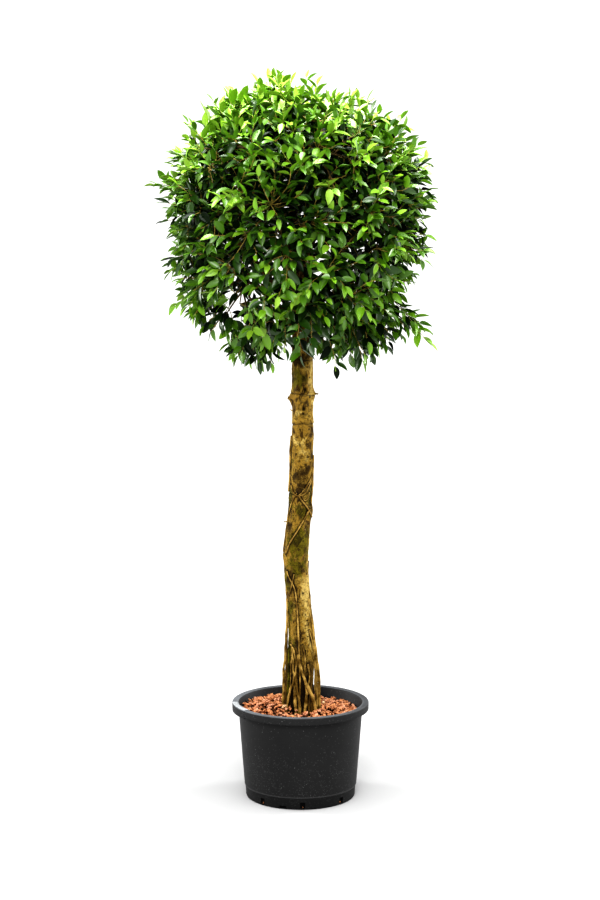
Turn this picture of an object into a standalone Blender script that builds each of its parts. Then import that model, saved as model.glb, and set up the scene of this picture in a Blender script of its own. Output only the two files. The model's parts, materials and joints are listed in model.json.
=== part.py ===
"""Standard lollipop topiary: a clear-stemmed fig with a clipped round crown, in its nursery pot.

Metres, +Z up. The origin is the centre of the pot's flat underside, and the plant is seen from
its front along +Y. Angles round the trunk and the pot start at the front and turn towards +X.
Every solid keeps a small gap to its neighbours, so each part stays a body of its own.
"""

import math
import random

import bmesh
import bpy
from mathutils import Matrix, Vector
from mathutils.bvhtree import BVHTree

GAP = 0.0003  # clearance between neighbouring solids
SEED = 47

# Pot: a blow-moulded container with a downturned lip and a foot band with drain slots
POT_HEIGHT = 0.395
RIM_RADIUS = 0.2825
RIM_DROP = 0.029  # how far the lip's skirt hangs down
SKIRT_THICKNESS = 0.003
MOUTH_RADIUS = 0.253
WALL_THICKNESS = 0.006
WALL_TOP_RADIUS = 0.2565
WALL_FOOT_RADIUS = 0.232
FOOT_HEIGHT = 0.050
FOOT_INSET = 0.003
FOOT_CORNER = 0.007
POT_SIDES = 36
DRAIN_SLOTS = 8
DRAIN_SLOT_WIDTH = 0.021
DRAIN_SLOT_HEIGHT = 0.025
FIRST_SLOT_ANGLE = 2.2  # degrees
GATE_WIDTH = 0.030  # a wide, shallow mark beside the front slot
GATE_HEIGHT = 0.010
GATE_DEPTH = 0.004
GATE_LIFT = 0.004
GATE_ANGLE = -18.7
LUG_FROM, LUG_TO = -84.0, -54.0  # a thicker stretch of the rim, in degrees
LUG_PROUD = 0.004
LUG_OVERLAP = 0.0066  # how far its skirt reaches in behind the rim's own
LUG_STEPS = 6

# Filling: potting soil up to ground level, with a layer of lava chips on it
SOIL_TOP = 0.336
MULCH_DEPTH = 0.020
MULCH_MOUND = 0.012  # extra depth beside the trunk
MULCH_HEAP = 0.013  # extra depth on the side where the chips are heaped
HEAP_ANGLE = -120.0
MULCH_ROUGHNESS = 0.004
MULCH_RINGS = 4
MULCH_CLEARANCE = 0.003  # round the trunk and its aerial roots
MULCH_REACH = 0.022  # how far aside a root still pushes the mulch's edge out

# Trunk, from its flat cut on the soil to its fork
FORK_HEIGHT = 1.985
TRUNK_FOOT_RADIUS = 0.055
TRUNK_FORK_RADIUS = 0.040
WAIST = 0.009  # how much slimmer the trunk is inside its cage of aerial roots
WAIST_HEIGHT = 0.56
WAIST_SOFTNESS = 0.035
TRUNK_FOOT_X = 0.006
TRUNK_LEAN = 0.003
TRUNK_BOW = 0.024
BOW_HEIGHT = 0.99
BOW_SPREAD = 0.24
TRUNK_SIDES = 14
TRUNK_RINGS = 20
KNOT_SPREAD = 0.022
RIPPLE = 0.0011  # how uneven the bark is
# Swollen knots: height, angle in degrees, how far each stands out
KNOTS = (
    (1.654, -88.0, 0.012),
    (1.668, 92.0, 0.010),
    (1.606, 15.0, 0.005),
    (1.450, -95.0, 0.005),
    (1.480, 150.0, 0.007),
    (1.180, 100.0, 0.006),
    (1.004, -95.0, 0.007),
    (1.245, -150.0, 0.006),
)
# Aerial roots that prop the foot and give it its flare: height and angle where each leaves
# the trunk, angle and distance from the trunk's axis where it reaches the ground, and radius
AERIAL_ROOTS = (
    (0.860, -72.0, -90.0, 0.079, 0.0055),
    (0.790, -96.0, -114.0, 0.075, 0.0050),
    (0.650, -50.0, -6.0, 0.062, 0.0045),
    (0.600, -20.0, -64.0, 0.072, 0.0045),
    (0.605, -16.0, 62.0, 0.065, 0.0070),
    (0.840, 56.0, 90.0, 0.073, 0.0052),
    (0.760, 118.0, 124.0, 0.072, 0.0058),
    (0.800, 150.0, 160.0, 0.075, 0.0062),
    (0.740, 192.0, 180.0, 0.071, 0.0048),
    (0.720, 214.0, 240.0, 0.075, 0.0062),
)
AERIAL_ROOT_POINTS = 7
ROOT_SUNK = 0.004  # how far inside the trunk's skin an aerial root begins

# Crown
CROWN_CENTRE = Vector((-0.020, 0.0, 2.420))
CROWN_HALF_WIDTH = 0.555
CROWN_RISE = 0.520  # from its centre to its top
CROWN_DROP = 0.660  # and down to its lowest leaves
SQUARENESS_ABOVE = 2.25  # 2 is an ellipsoid, more is squarer
SQUARENESS_BELOW = 2.1
# Tiers of masses: name, how many, elevation and first angle in degrees, height of the boughs'
# feet on the limb that carries them, and the boughs' radius there
TIERS = (
    ("top", 1, 90.0, 0.0, FORK_HEIGHT - 0.012, 0.022),
    ("upper", 5, 36.0, 20.0, 2.070, 0.011),
    ("middle", 5, -8.0, -12.0, 1.876, 0.015),
    ("lower", 5, -50.0, 24.0, 1.828, 0.011),
)
HUB_REACH = 0.61  # where a mass's twigs spread from, as a share of the way to the outline
MASS_STARTS = 0.62  # share of the way from a bough's foot to its hub where the mass begins
FOOT_STAGGER = 0.021  # how far apart in height neighbouring boughs' feet are
LIMB_TIP_SHARE = 0.45  # a limb's radius at its hub, as a share of that at its foot
LIMB_BEND = Vector((0.42, 0.42, 0.66))  # a limb rises before it turns out, as shares
LIMB_POINTS = 6
STEM_POINTS = 4
LEADER_SWAY = Vector((-0.055, 0.012, 0.0))

# Foliage
TWIG_TIPS = 102
BARE_BELOW = -72.0  # degrees of elevation under which no twig grows, round the trunk
CORE_WIDTH = 0.096
CORE_DEPTH = 0.050
CORE_ROUGHNESS = 0.16
TWIG_RADIUS = 0.0060
TWIG_TIP_RADIUS = 0.0042
TWIG_SEGMENTS = 2
TWIG_LIFT = 0.035  # the most that a twig bows upwards
CELL_GAP = 0.0012  # clear space between neighbouring masses
LIMB_CLEARANCE = 0.0015  # between foliage and any limb
LEAVES_PER_TWIG = 6
LEAF_LENGTH = 0.150
LEAF_WIDTH = 0.088
LEAF_THICKNESS = 0.0042
LEAF_WIDEST = 0.42  # share of the length where the blade is widest
TIP_DEPTH = (0.72, 0.98)  # how far inside the outline a twig ends, in leaf lengths
LEAF_SPACING = 0.10  # along the twig, as a share of its length
# Sides of the twig to turn by, degrees between leaf and twig, size: the first with room is used
LEAF_TRIES = ((0, 68.0, 1.0), (1, 68.0, 1.0), (0, 40.0, 1.0), (2, 68.0, 0.8), (0, 35.0, 0.7))
LEAF_UP = 0.7  # how far the blades turn from facing outwards to facing up
LEAF_RISE = 0.45  # how far leaves lift towards the top of the crown and hang below it
TIP_LEAF_ROOT = 0.003  # how deep the end leaf is sunk
GOLDEN_ANGLE = math.pi * (3.0 - math.sqrt(5.0))
# Long shoots that stand out of the clipped outline: angle, elevation, reach beyond it
SHOOTS = (
    (90.0, -43.0, 0.200),
    (-90.0, -39.0, 0.095),
    (-91.0, 9.0, 0.085),
    (88.0, -22.0, 0.060),
    (-85.0, 78.0, 0.065),
    (-90.0, 60.0, 0.040),
    (92.0, -60.0, 0.080),
)


# ------------------------------------------------------------------ scene and materials
def clear_scene():
    for obj in list(bpy.data.objects):
        bpy.data.objects.remove(obj, do_unlink=True)
    for group in list(bpy.data.collections):
        bpy.data.collections.remove(group)


def new_collection(name, parent=None):
    group = bpy.data.collections.new(name)
    (parent or bpy.context.scene.collection).children.link(group)
    return group


def principled(name, colour, roughness):
    material = bpy.data.materials.new(name)
    material.use_nodes = True
    shader = material.node_tree.nodes["Principled BSDF"]
    shader.inputs["Base Color"].default_value = (*colour, 1.0)
    shader.inputs["Roughness"].default_value = roughness
    shader.inputs["Metallic"].default_value = 0.0
    return material


def new_object(name, mesh, group, material=None):
    obj = bpy.data.objects.new(name, mesh)
    if material:
        mesh.materials.clear()
        mesh.materials.append(material)
    group.objects.link(obj)
    return obj


def mesh_of(bm, name):
    """The edit mesh as a mesh with its faces pointing out, and the edit mesh freed."""
    bm.normal_update()
    bmesh.ops.recalc_face_normals(bm, faces=bm.faces[:])
    if bm.calc_volume(signed=True) < 0.0:
        bmesh.ops.reverse_faces(bm, faces=bm.faces[:])
    mesh = bpy.data.meshes.new(name)
    bm.to_mesh(mesh)
    bm.free()
    return mesh


def evaluated_mesh(obj):
    bpy.context.view_layer.update()
    depsgraph = bpy.context.evaluated_depsgraph_get()
    return bpy.data.meshes.new_from_object(obj.evaluated_get(depsgraph))


def apply_modifiers(obj):
    """The object's mesh as its modifiers leave it, with the modifiers gone."""
    mesh = evaluated_mesh(obj)
    materials = list(obj.data.materials)
    obj.modifiers.clear()
    obj.data = mesh
    mesh.materials.clear()
    for material in materials:
        mesh.materials.append(material)


def remove_group(group):
    for obj in list(group.objects):
        bpy.data.objects.remove(obj, do_unlink=True)
    bpy.data.collections.remove(group)


def cut_with(obj, cutters, operation="DIFFERENCE", solver="EXACT"):
    """One Boolean with a collection of closed meshes, applied, and the collection removed."""
    boolean = obj.modifiers.new("boolean", "BOOLEAN")
    boolean.operand_type = "COLLECTION"
    boolean.collection = cutters
    boolean.operation = operation
    boolean.solver = solver
    apply_modifiers(obj)
    remove_group(cutters)


def soften(obj, angle=35.0):
    obj.data.shade_smooth()
    obj.data.set_sharp_from_angle(angle=math.radians(angle))


def polar(angle, radius, z=0.0):
    """A point at an angle from the front, turning towards +X."""
    return Vector((radius * math.sin(angle), -radius * math.cos(angle), z))


def direction(angle, elevation):
    flat = polar(math.radians(angle), math.cos(math.radians(elevation)))
    return Vector((flat.x, flat.y, math.sin(math.radians(elevation))))


# ------------------------------------------------------------------ pot and filling
def turned(name, profile, group, material, sides=POT_SIDES):
    """A profile of radius and height, outer side running down, turned about the axis."""
    mesh = bpy.data.meshes.new(name)
    points = [(radius, 0.0, z) for radius, z in profile]
    mesh.from_pydata(points, [(i, i + 1) for i in range(len(points) - 1)], [])
    obj = new_object(name, mesh, group, material)
    screw = obj.modifiers.new("turn", "SCREW")
    screw.axis = "Z"
    screw.steps = screw.render_steps = sides
    screw.use_merge_vertices = True
    screw.merge_threshold = 0.0001
    screw.use_smooth_shade = False
    return obj


def inner_radius(z):
    """The pot's inner wall, which tapers to its floor."""
    low = WALL_FOOT_RADIUS - WALL_THICKNESS
    high = WALL_TOP_RADIUS - WALL_THICKNESS
    return low + (high - low) * (z - FOOT_HEIGHT) / (POT_HEIGHT - RIM_DROP - FOOT_HEIGHT)


def foot_radius(z):
    """The foot band, a little inside the line of the wall."""
    return inner_radius(z) + WALL_THICKNESS - FOOT_INSET


def ring_box(name, angle, inner, outer, width, bottom, top, group):
    """A box that reaches through the pot's wall at an angle."""
    bm = bmesh.new()
    bmesh.ops.create_cube(bm, size=1.0)
    middle = (bottom + top) / 2
    for vert in bm.verts:
        vert.co.x *= width
        vert.co.y = -(inner + outer) / 2 + vert.co.y * (outer - inner)
        vert.co.z = middle + vert.co.z * (top - bottom)
    bmesh.ops.rotate(bm, verts=bm.verts[:], matrix=Matrix.Rotation(math.radians(angle), 3, "Z"))
    obj = new_object(name, mesh_of(bm, name), group)
    obj.hide_render = True
    obj.display_type = "WIRE"
    return obj


def rim_lug(group):
    """A thicker stretch of the rim, as a closed arc of a few segments."""
    bm = bmesh.new()
    bottom, top = POT_HEIGHT - RIM_DROP - LUG_PROUD, POT_HEIGHT + LUG_PROUD
    inner, outer = RIM_RADIUS - LUG_OVERLAP, RIM_RADIUS + LUG_PROUD
    edge, lip = MOUTH_RADIUS + 2 * LUG_PROUD, POT_HEIGHT - SKIRT_THICKNESS / 2
    section = ((edge, top), (outer, top), (outer, bottom), (inner, bottom), (inner, lip), (edge, lip))
    rings = []
    for step in range(LUG_STEPS + 1):
        angle = math.radians(LUG_FROM + (LUG_TO - LUG_FROM) * step / LUG_STEPS)
        rings.append([bm.verts.new(polar(angle, radius, z)) for radius, z in section])
    skin_rings(bm, rings)
    return new_object("lug", mesh_of(bm, "lug"), group)


def make_pot(group, material):
    skirt_foot = POT_HEIGHT - RIM_DROP
    corner = FOOT_CORNER
    lip_under = POT_HEIGHT - SKIRT_THICKNESS
    profile = [
        (0.0, WALL_THICKNESS),
        (inner_radius(WALL_THICKNESS), WALL_THICKNESS),
        (inner_radius(lip_under), lip_under),
        (MOUTH_RADIUS + 0.002, POT_HEIGHT),
        (RIM_RADIUS - SKIRT_THICKNESS, POT_HEIGHT),
        (RIM_RADIUS, POT_HEIGHT - SKIRT_THICKNESS),
        (RIM_RADIUS - 0.001, skirt_foot),
        (RIM_RADIUS - SKIRT_THICKNESS, skirt_foot),
        (RIM_RADIUS - SKIRT_THICKNESS, lip_under),
        (inner_radius(lip_under) + WALL_THICKNESS, lip_under),
        (WALL_FOOT_RADIUS, FOOT_HEIGHT),
        (foot_radius(FOOT_HEIGHT), FOOT_HEIGHT - FOOT_INSET),
        (foot_radius(corner), corner),
        (foot_radius(0.0) - corner * 0.3, corner * 0.3),
        (foot_radius(0.0) - corner, 0.0),
        (0.0, 0.0),
    ]
    pot = turned("pot", profile, group, material)
    apply_modifiers(pot)
    cutters = new_collection("pot_cutters")
    inside, outside = inner_radius(0.0) - WALL_THICKNESS, WALL_FOOT_RADIUS + WALL_THICKNESS
    for slot in range(DRAIN_SLOTS):
        angle = FIRST_SLOT_ANGLE + 360.0 / DRAIN_SLOTS * slot
        span = (WALL_THICKNESS, WALL_THICKNESS + DRAIN_SLOT_HEIGHT)
        ring_box(f"slot_{slot}", angle, inside, outside, DRAIN_SLOT_WIDTH, *span, cutters)
    mark = foot_radius(0.0) - GATE_DEPTH
    span = (GATE_LIFT, GATE_LIFT + GATE_HEIGHT)
    ring_box("gate", GATE_ANGLE, mark, outside, GATE_WIDTH, *span, cutters)
    cut_with(pot, cutters)
    joined = new_collection("pot_joined")
    rim_lug(joined)
    cut_with(pot, joined, "UNION")
    soften(pot)
    return pot


def make_soil(group, material):
    floor = WALL_THICKNESS + GAP
    profile = [
        (0.0, SOIL_TOP),
        (inner_radius(SOIL_TOP) - 2 * GAP, SOIL_TOP),
        (inner_radius(floor) - 2 * GAP, floor),
        (0.0, floor),
    ]
    return turned("potting_soil", profile, group, material)


def make_mulch(group, material, trunk):
    """A ring of lava chips between the trunk's foot and the pot's wall."""
    chance = random.Random(SEED)
    bottom = SOIL_TOP + GAP
    highest = SOIL_TOP + 2 * (MULCH_DEPTH + MULCH_MOUND)
    near = [vert.co for vert in trunk.data.vertices if vert.co.z < highest]
    wall = inner_radius(SOIL_TOP) - 4 * GAP
    bm = bmesh.new()
    sections = []
    for step in range(POT_SIDES):
        angle = math.tau * step / POT_SIDES + math.pi / 2
        outward = polar(angle, 1.0)
        aside = polar(angle + math.pi / 2, 1.0)
        heap = MULCH_HEAP * max(0.0, math.cos(angle - math.radians(HEAP_ANGLE)))
        hole = MULCH_CLEARANCE + max(
            co.dot(outward) for co in near if abs(co.dot(aside)) < MULCH_REACH
        )
        section = [polar(angle, hole, bottom)]
        for ring in range(MULCH_RINGS + 1):
            share = ring / MULCH_RINGS
            bump = chance.uniform(-MULCH_ROUGHNESS, MULCH_ROUGHNESS)
            depth = MULCH_DEPTH + heap + MULCH_MOUND * (1.0 - share) ** 1.5 + bump
            section.append(polar(angle, hole + (wall - hole) * share, bottom + depth))
        section.append(polar(angle, wall, bottom))
        sections.append([bm.verts.new(point) for point in section])
    skin_rings(bm, sections + sections[:1], capped=False)
    return new_object("lava_mulch", mesh_of(bm, "lava_mulch"), group, material)


# ------------------------------------------------------------------ limbs
def skin_rings(bm, rings, capped=True):
    """Quads between rings of vertices that follow each other, and caps on the ends."""
    for first, second in zip(rings, rings[1:]):
        count = len(first)
        for i in range(count):
            j = (i + 1) % count
            bm.faces.new((first[i], first[j], second[j], second[i]))
    if capped:
        bm.faces.new(rings[0])
        bm.faces.new(rings[-1])


def trunk_axis(z):
    share = (z - SOIL_TOP) / (FORK_HEIGHT - SOIL_TOP)
    bow = TRUNK_BOW * math.exp(-(((z - BOW_HEIGHT) / BOW_SPREAD) ** 2))
    depth = 0.5 * TRUNK_BOW * math.sin(math.pi * share)
    return Vector((TRUNK_FOOT_X + TRUNK_LEAN * share - bow, depth, z))


def trunk_radius(angle, z):
    share = (z - SOIL_TOP) / (FORK_HEIGHT - SOIL_TOP)
    taper = TRUNK_FOOT_RADIUS + (TRUNK_FORK_RADIUS - TRUNK_FOOT_RADIUS) * share
    waist = WAIST / (1.0 + math.exp((z - WAIST_HEIGHT) / WAIST_SOFTNESS))
    knots = 0.0
    for height, turn, proud in KNOTS:
        apart = math.remainder(angle - math.radians(turn), math.tau) * taper
        knots += proud * math.exp(-(((z - height) ** 2 + apart**2) / KNOT_SPREAD**2))
    ripple = math.sin(2 * angle + 9.0 * z) + math.sin(3 * angle - 14.0 * z)
    return taper - waist + knots + RIPPLE * ripple


def trunk_point(angle, z, grow=0.0):
    centre = trunk_axis(z)
    return centre + polar(angle, trunk_radius(angle, z) + grow)


def trunk_mesh(name, grow=0.0):
    """The bare trunk, or with grow the same facets pushed out for a cutter."""
    bm = bmesh.new()
    low = SOIL_TOP + GAP
    rings = []
    for ring in range(TRUNK_RINGS + 1):
        z = low + (FORK_HEIGHT - low) * ring / TRUNK_RINGS
        angles = [math.tau * side / TRUNK_SIDES for side in range(TRUNK_SIDES)]
        rings.append([bm.verts.new(trunk_point(angle, z, grow)) for angle in angles])
    for vert in rings[-1]:
        vert.co.z += grow
    skin_rings(bm, rings)
    bmesh.ops.triangulate(bm, faces=bm.faces[:])
    return mesh_of(bm, name)


def limb_mesh(name, points, radii, resolution=1):
    """A tapering limb: a curve with a round bevel and filled caps, welded into one mesh."""
    curve = bpy.data.curves.new(name, "CURVE")
    curve.dimensions = "3D"
    curve.bevel_depth = 1.0
    curve.bevel_resolution = resolution
    curve.use_fill_caps = True
    spline = curve.splines.new("POLY")
    spline.points.add(len(points) - 1)
    for target, point, radius in zip(spline.points, points, radii):
        target.co = (*point, 1.0)
        target.radius = radius
    holder = bpy.data.objects.new(name, curve)
    bpy.context.scene.collection.objects.link(holder)
    mesh = evaluated_mesh(holder)
    bpy.data.objects.remove(holder, do_unlink=True)
    bpy.data.curves.remove(curve)
    bm = bmesh.new()
    bm.from_mesh(mesh)
    bmesh.ops.remove_doubles(bm, verts=bm.verts[:], dist=0.00001)
    bm.to_mesh(mesh)
    bm.free()
    return mesh


def smooth(share):
    return share * share * (3.0 - 2.0 * share)


def aerial_root_path(top, angle_top, angle_foot, foot_distance):
    """From inside the trunk's skin, down and outward to the ground."""
    skin_top = trunk_radius(math.radians(angle_top), top) - ROOT_SUNK
    points = []
    for step in range(AERIAL_ROOT_POINTS):
        share = step / (AERIAL_ROOT_POINTS - 1)
        z = top + (SOIL_TOP + GAP - top) * share
        angle = math.radians(angle_top + (angle_foot - angle_top) * smooth(share))
        away = skin_top + (foot_distance - skin_top) * math.sin(share * math.pi / 2)
        points.append(trunk_axis(z) + polar(angle, away))
    return points


def make_trunk(group, material):
    trunk = new_object("trunk", trunk_mesh("trunk"), group, material)
    roots = new_collection("trunk_roots")
    for number, (top, turn, foot, distance, radius) in enumerate(AERIAL_ROOTS):
        points = aerial_root_path(top, turn, foot, distance)
        radii = [radius * (0.75 + 0.35 * i / (len(points) - 1)) for i in range(len(points))]
        mesh = limb_mesh(f"root_{number}", points, radii)
        for vert in mesh.vertices:
            vert.co.z = max(vert.co.z, SOIL_TOP + GAP)
        new_object(f"root_{number}", mesh, roots)
    cut_with(trunk, roots, "UNION")
    soften(trunk)
    return trunk


def envelope(way):
    """Distance from the crown's centre to its clipped outline along a unit vector."""
    side = math.hypot(way.x, way.y) / CROWN_HALF_WIDTH
    reach, power = CROWN_RISE, SQUARENESS_ABOVE
    if way.z < 0.0:
        reach, power = CROWN_DROP, SQUARENESS_BELOW
    return (side**power + (abs(way.z) / reach) ** power) ** (-1.0 / power)


class Limb:
    """A bough and the stem that carries on from it: one curve from a foot to a mass's hub."""

    def __init__(self, foot, hub, radius, sway=Vector()):
        rise = hub - foot
        self.foot, self.hub, self.radius = foot, hub, radius
        self.bend = foot + rise * LIMB_BEND + sway

    def point(self, share):
        near = self.foot.lerp(self.bend, share)
        far = self.bend.lerp(self.hub, share)
        return near.lerp(far, share)

    def radius_at(self, share):
        return self.radius * (1.0 + (LIMB_TIP_SHARE - 1.0) * share)

    def stem_start(self):
        """Where the stem begins: past the bough's end cap, which tilts against its own."""
        bough_end = self.point(MASS_STARTS) - self.point(MASS_STARTS * (1 - 1 / (LIMB_POINTS - 1)))
        ahead = self.point(1.0) - self.point(MASS_STARTS)
        stem = self.point(MASS_STARTS + (1 - MASS_STARTS) / (STEM_POINTS - 1)) - self.point(MASS_STARTS)
        clear = GAP + self.radius_at(MASS_STARTS) * math.tan(bough_end.angle(stem))
        return MASS_STARTS + (1 - MASS_STARTS) * clear / ahead.length

    def mesh(self, name, start, end, grow=0.0, points=LIMB_POINTS):
        shares = [start + (end - start) * i / (points - 1) for i in range(points)]
        radii = [self.radius_at(share) + grow for share in shares]
        return limb_mesh(name, [self.point(share) for share in shares], radii)


def plan_masses():
    """Each mass's name, direction from the crown's centre and limb, from the tiers."""
    masses = []
    leader = None
    for tier, count, elevation, first, foot_height, radius in TIERS:
        for number in range(count):
            name = tier if count == 1 else f"{tier}_{number + 1}"
            way = direction(first + 360.0 / count * number, elevation)
            hub = CROWN_CENTRE + way * envelope(way) * HUB_REACH
            height = foot_height + FOOT_STAGGER * ((number * 3) % count)
            if leader is None:
                limb = leader = Limb(trunk_axis(height), hub, radius, LEADER_SWAY)
            elif foot_height > FORK_HEIGHT:
                limb = Limb(leader_point(leader, height), hub, radius)
            else:
                limb = Limb(trunk_axis(height), hub, radius)
            masses.append((name, way, limb))
    return masses


def leader_point(leader, height):
    low, high = 0.0, 1.0
    for _ in range(30):
        middle = (low + high) / 2
        if leader.point(middle).z < height:
            low = middle
        else:
            high = middle
    return leader.point(low)


def make_boughs(masses, group, material):
    """The limbs from their feet to where their masses begin, cut clear of what carries them."""
    boughs = []
    leader = masses[0][2]
    for name, _, limb in masses:
        title = "leader" if limb is leader else f"bough_{name}"
        bough = new_object(title, limb.mesh(title, 0.0, MASS_STARTS), group, material)
        cutters = new_collection("limb_cutters")
        new_object("trunk_cutter", trunk_mesh("trunk_cutter", 2 * GAP), cutters)
        if limb is not leader:
            swollen = leader.mesh("leader_cutter", 0.0, MASS_STARTS, 2 * GAP)
            new_object("leader_cutter", swollen, cutters)
        cut_with(bough, cutters)
        keep_outer_body(bough)
        soften(bough)
        boughs.append(bough)
    return boughs


# ------------------------------------------------------------------ foliage
def keep_outer_body(obj):
    """The largest connected body of a mesh: loose scraps and sealed hollows are dropped."""
    bm = bmesh.new()
    bm.from_mesh(obj.data)
    unseen = set(bm.verts)
    bodies = []
    while unseen:
        body, front = set(), [unseen.pop()]
        while front:
            vert = front.pop()
            body.add(vert)
            for edge in vert.link_edges:
                other = edge.other_vert(vert)
                if other in unseen:
                    unseen.discard(other)
                    front.append(other)
        bodies.append(body)
    largest = max(bodies, key=len)
    loose = [vert for body in bodies if body is not largest for vert in body]
    bmesh.ops.delete(bm, geom=loose, context="VERTS")
    bm.to_mesh(obj.data)
    bm.free()


def leaf_shape(root, way, face_up, size):
    """A six-faced blade, flat above and keeled below: a three-sided sphere with one belt."""
    side = way.cross(face_up).normalized()
    up = side.cross(way).normalized()
    length, width, thick = LEAF_LENGTH * size, LEAF_WIDTH * size, LEAF_THICKNESS
    bm = bmesh.new()
    bmesh.ops.create_uvsphere(bm, u_segments=3, v_segments=2, radius=1.0)
    for vert in bm.verts:
        x, y, z = vert.co
        along = LEAF_WIDEST if abs(z) < 0.5 else (1.0 if z > 0 else 0.0)
        vert.co = root + way * along * length + side * y * width / math.sqrt(3) + up * -x * thick
    bm.normal_update()
    return bm


class Space:
    """The room that one mass may fill: its cell of the crown, clear of every limb."""

    def __init__(self, index, ways, limbs_tree):
        own = ways[index]
        self.walls = [(own - other).normalized() for i, other in enumerate(ways) if i != index]
        self.limbs_tree = limbs_tree

    def holds(self, bm):
        for vert in bm.verts:
            place = vert.co - CROWN_CENTRE
            if any(place.dot(wall) < CELL_GAP / 2 for wall in self.walls):
                return False
        return not BVHTree.FromBMesh(bm).overlap(self.limbs_tree)


def crown_tips():
    """Unit vectors spread evenly over the crown, with none round the trunk."""
    tips = []
    for step in range(TWIG_TIPS):
        z = 1.0 - 2.0 * (step + 0.5) / TWIG_TIPS
        if math.degrees(math.asin(z)) > BARE_BELOW:
            around = math.sqrt(1.0 - z * z)
            angle = GOLDEN_ANGLE * step
            tips.append(Vector((around * math.cos(angle), around * math.sin(angle), z)))
    return tips


class Twig:
    """A slim three-sided tube that bows from start to tip, and where leaves sit on it."""

    def __init__(self, start, tip, lift):
        bend = start.lerp(tip, 0.5) + Vector((0.0, 0.0, lift))
        shares = [step / TWIG_SEGMENTS for step in range(TWIG_SEGMENTS + 1)]
        self.points = [start.lerp(bend, t).lerp(bend.lerp(tip, t), t) for t in shares]
        self.ways = [(b - a).normalized() for a, b in zip(self.points, self.points[1:])]
        self.corners = [self.ways[0].orthogonal().normalized()]
        for way in self.ways[1:]:
            corner = self.corners[-1]
            self.corners.append((corner - way * corner.dot(way)).normalized())

    def shape(self):
        bm = bmesh.new()
        rings = []
        for i, point in enumerate(self.points):
            segment = min(i, TWIG_SEGMENTS - 1)
            corner = self.corners[segment]
            across = self.ways[segment].cross(corner)
            radius = TWIG_RADIUS + (TWIG_TIP_RADIUS - TWIG_RADIUS) * i / TWIG_SEGMENTS
            turns = [math.tau * k / 3 for k in range(3)]
            around = [corner * math.cos(turn) + across * math.sin(turn) for turn in turns]
            rings.append([bm.verts.new(point + spoke * radius) for spoke in around])
        skin_rings(bm, rings)
        bm.normal_update()
        return bm

    def leaf_seat(self, number, side, lean):
        """Where a leaf is rooted and its way out: the first at the tip, the rest on the sides."""
        if number == 0:
            return self.points[-1] - self.ways[-1] * TIP_LEAF_ROOT, self.ways[-1]
        back = TWIG_SEGMENTS * (1.0 - LEAF_SPACING * number)
        segment = min(int(back), TWIG_SEGMENTS - 1)
        place = self.points[segment].lerp(self.points[segment + 1], back - segment)
        way, corner = self.ways[segment], self.corners[segment]
        turn = math.tau * ((number + side) / 3 + 0.5)
        out = corner * math.cos(turn) + way.cross(corner) * math.sin(turn)
        return place, (way * math.cos(lean) + out * math.sin(lean)).normalized()


def plan_twigs(limb, way, space, tips, chance):
    """Long shoots, twigs from the hub to every second tip, and side twigs off the nearest."""
    twigs, first_order = [], []
    for angle, elevation, beyond in SHOOTS:
        shoot = direction(angle, elevation)
        if all(shoot.dot(wall) > 0.0 for wall in space.walls):
            reach = envelope(shoot) + beyond - LEAF_LENGTH
            twigs.append(Twig(limb.hub, CROWN_CENTRE + shoot * reach, 0.0))
    for number, tip_way in enumerate(sorted(tips, key=lambda tip: -tip.dot(way))):
        reach = envelope(tip_way) - LEAF_LENGTH * chance.uniform(*TIP_DEPTH)
        tip = CROWN_CENTRE + tip_way * reach
        side = number % 2 == 1 and bool(first_order)
        if side:
            carrier = min(first_order, key=lambda twig: (twig.points[-1] - tip).length)
            begin = carrier.points[0].lerp(carrier.points[1], chance.uniform(0.5, 0.9))
        else:
            begin = limb.hub + (tip - limb.hub) * 0.1
        twigs.append(Twig(begin, tip, TWIG_LIFT * chance.uniform(0.2, 1.0)))
        if not side:
            first_order.append(twigs[-1])
    return twigs


def make_mass(name, way, limb, space, tips, group, material, seed):
    """One mass: a stem, a small core and branching twigs with their leaves, fused together."""
    chance = random.Random(seed)
    title = f"foliage_{name}"
    core = core_shape(limb.hub, way, chance)
    mass = new_object(title, mesh_of(core, title), group, material)
    pieces = new_collection("mass_pieces")
    new_object("stem", limb.mesh("stem", limb.stem_start(), 1.0, points=STEM_POINTS), pieces)
    twigs, trees = [], []
    for twig in plan_twigs(limb, way, space, tips, chance):
        shape = twig.shape()
        if space.holds(shape):
            twigs.append(twig)
            trees.append(BVHTree.FromBMesh(shape))
            new_object("twig", mesh_of(shape, "twig"), pieces)
        else:
            shape.free()
    leaves = []
    for number in range(LEAVES_PER_TWIG):
        for own, twig in enumerate(twigs):
            others = [other for i, other in enumerate(trees) if i != own] + leaves
            vigour = chance.uniform(0.9, 1.1)
            for side, lean, size in LEAF_TRIES:
                seat, leaf_way = twig.leaf_seat(number, side, math.radians(lean))
                outward = (seat - CROWN_CENTRE).normalized()
                leaf_way = (leaf_way + Vector((0.0, 0.0, LEAF_RISE * outward.z))).normalized()
                face_up = outward + Vector((0.0, 0.0, LEAF_UP))
                leaf = leaf_shape(seat, leaf_way, face_up, size * vigour)
                tree = BVHTree.FromBMesh(leaf)
                if space.holds(leaf) and not any(tree.overlap(other) for other in others):
                    leaves.append(tree)
                    new_object("leaf", mesh_of(leaf, "leaf"), pieces)
                    break
                leaf.free()
    cut_with(mass, pieces, "UNION", "MANIFOLD")
    keep_outer_body(mass)
    return len(leaves)


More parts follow.
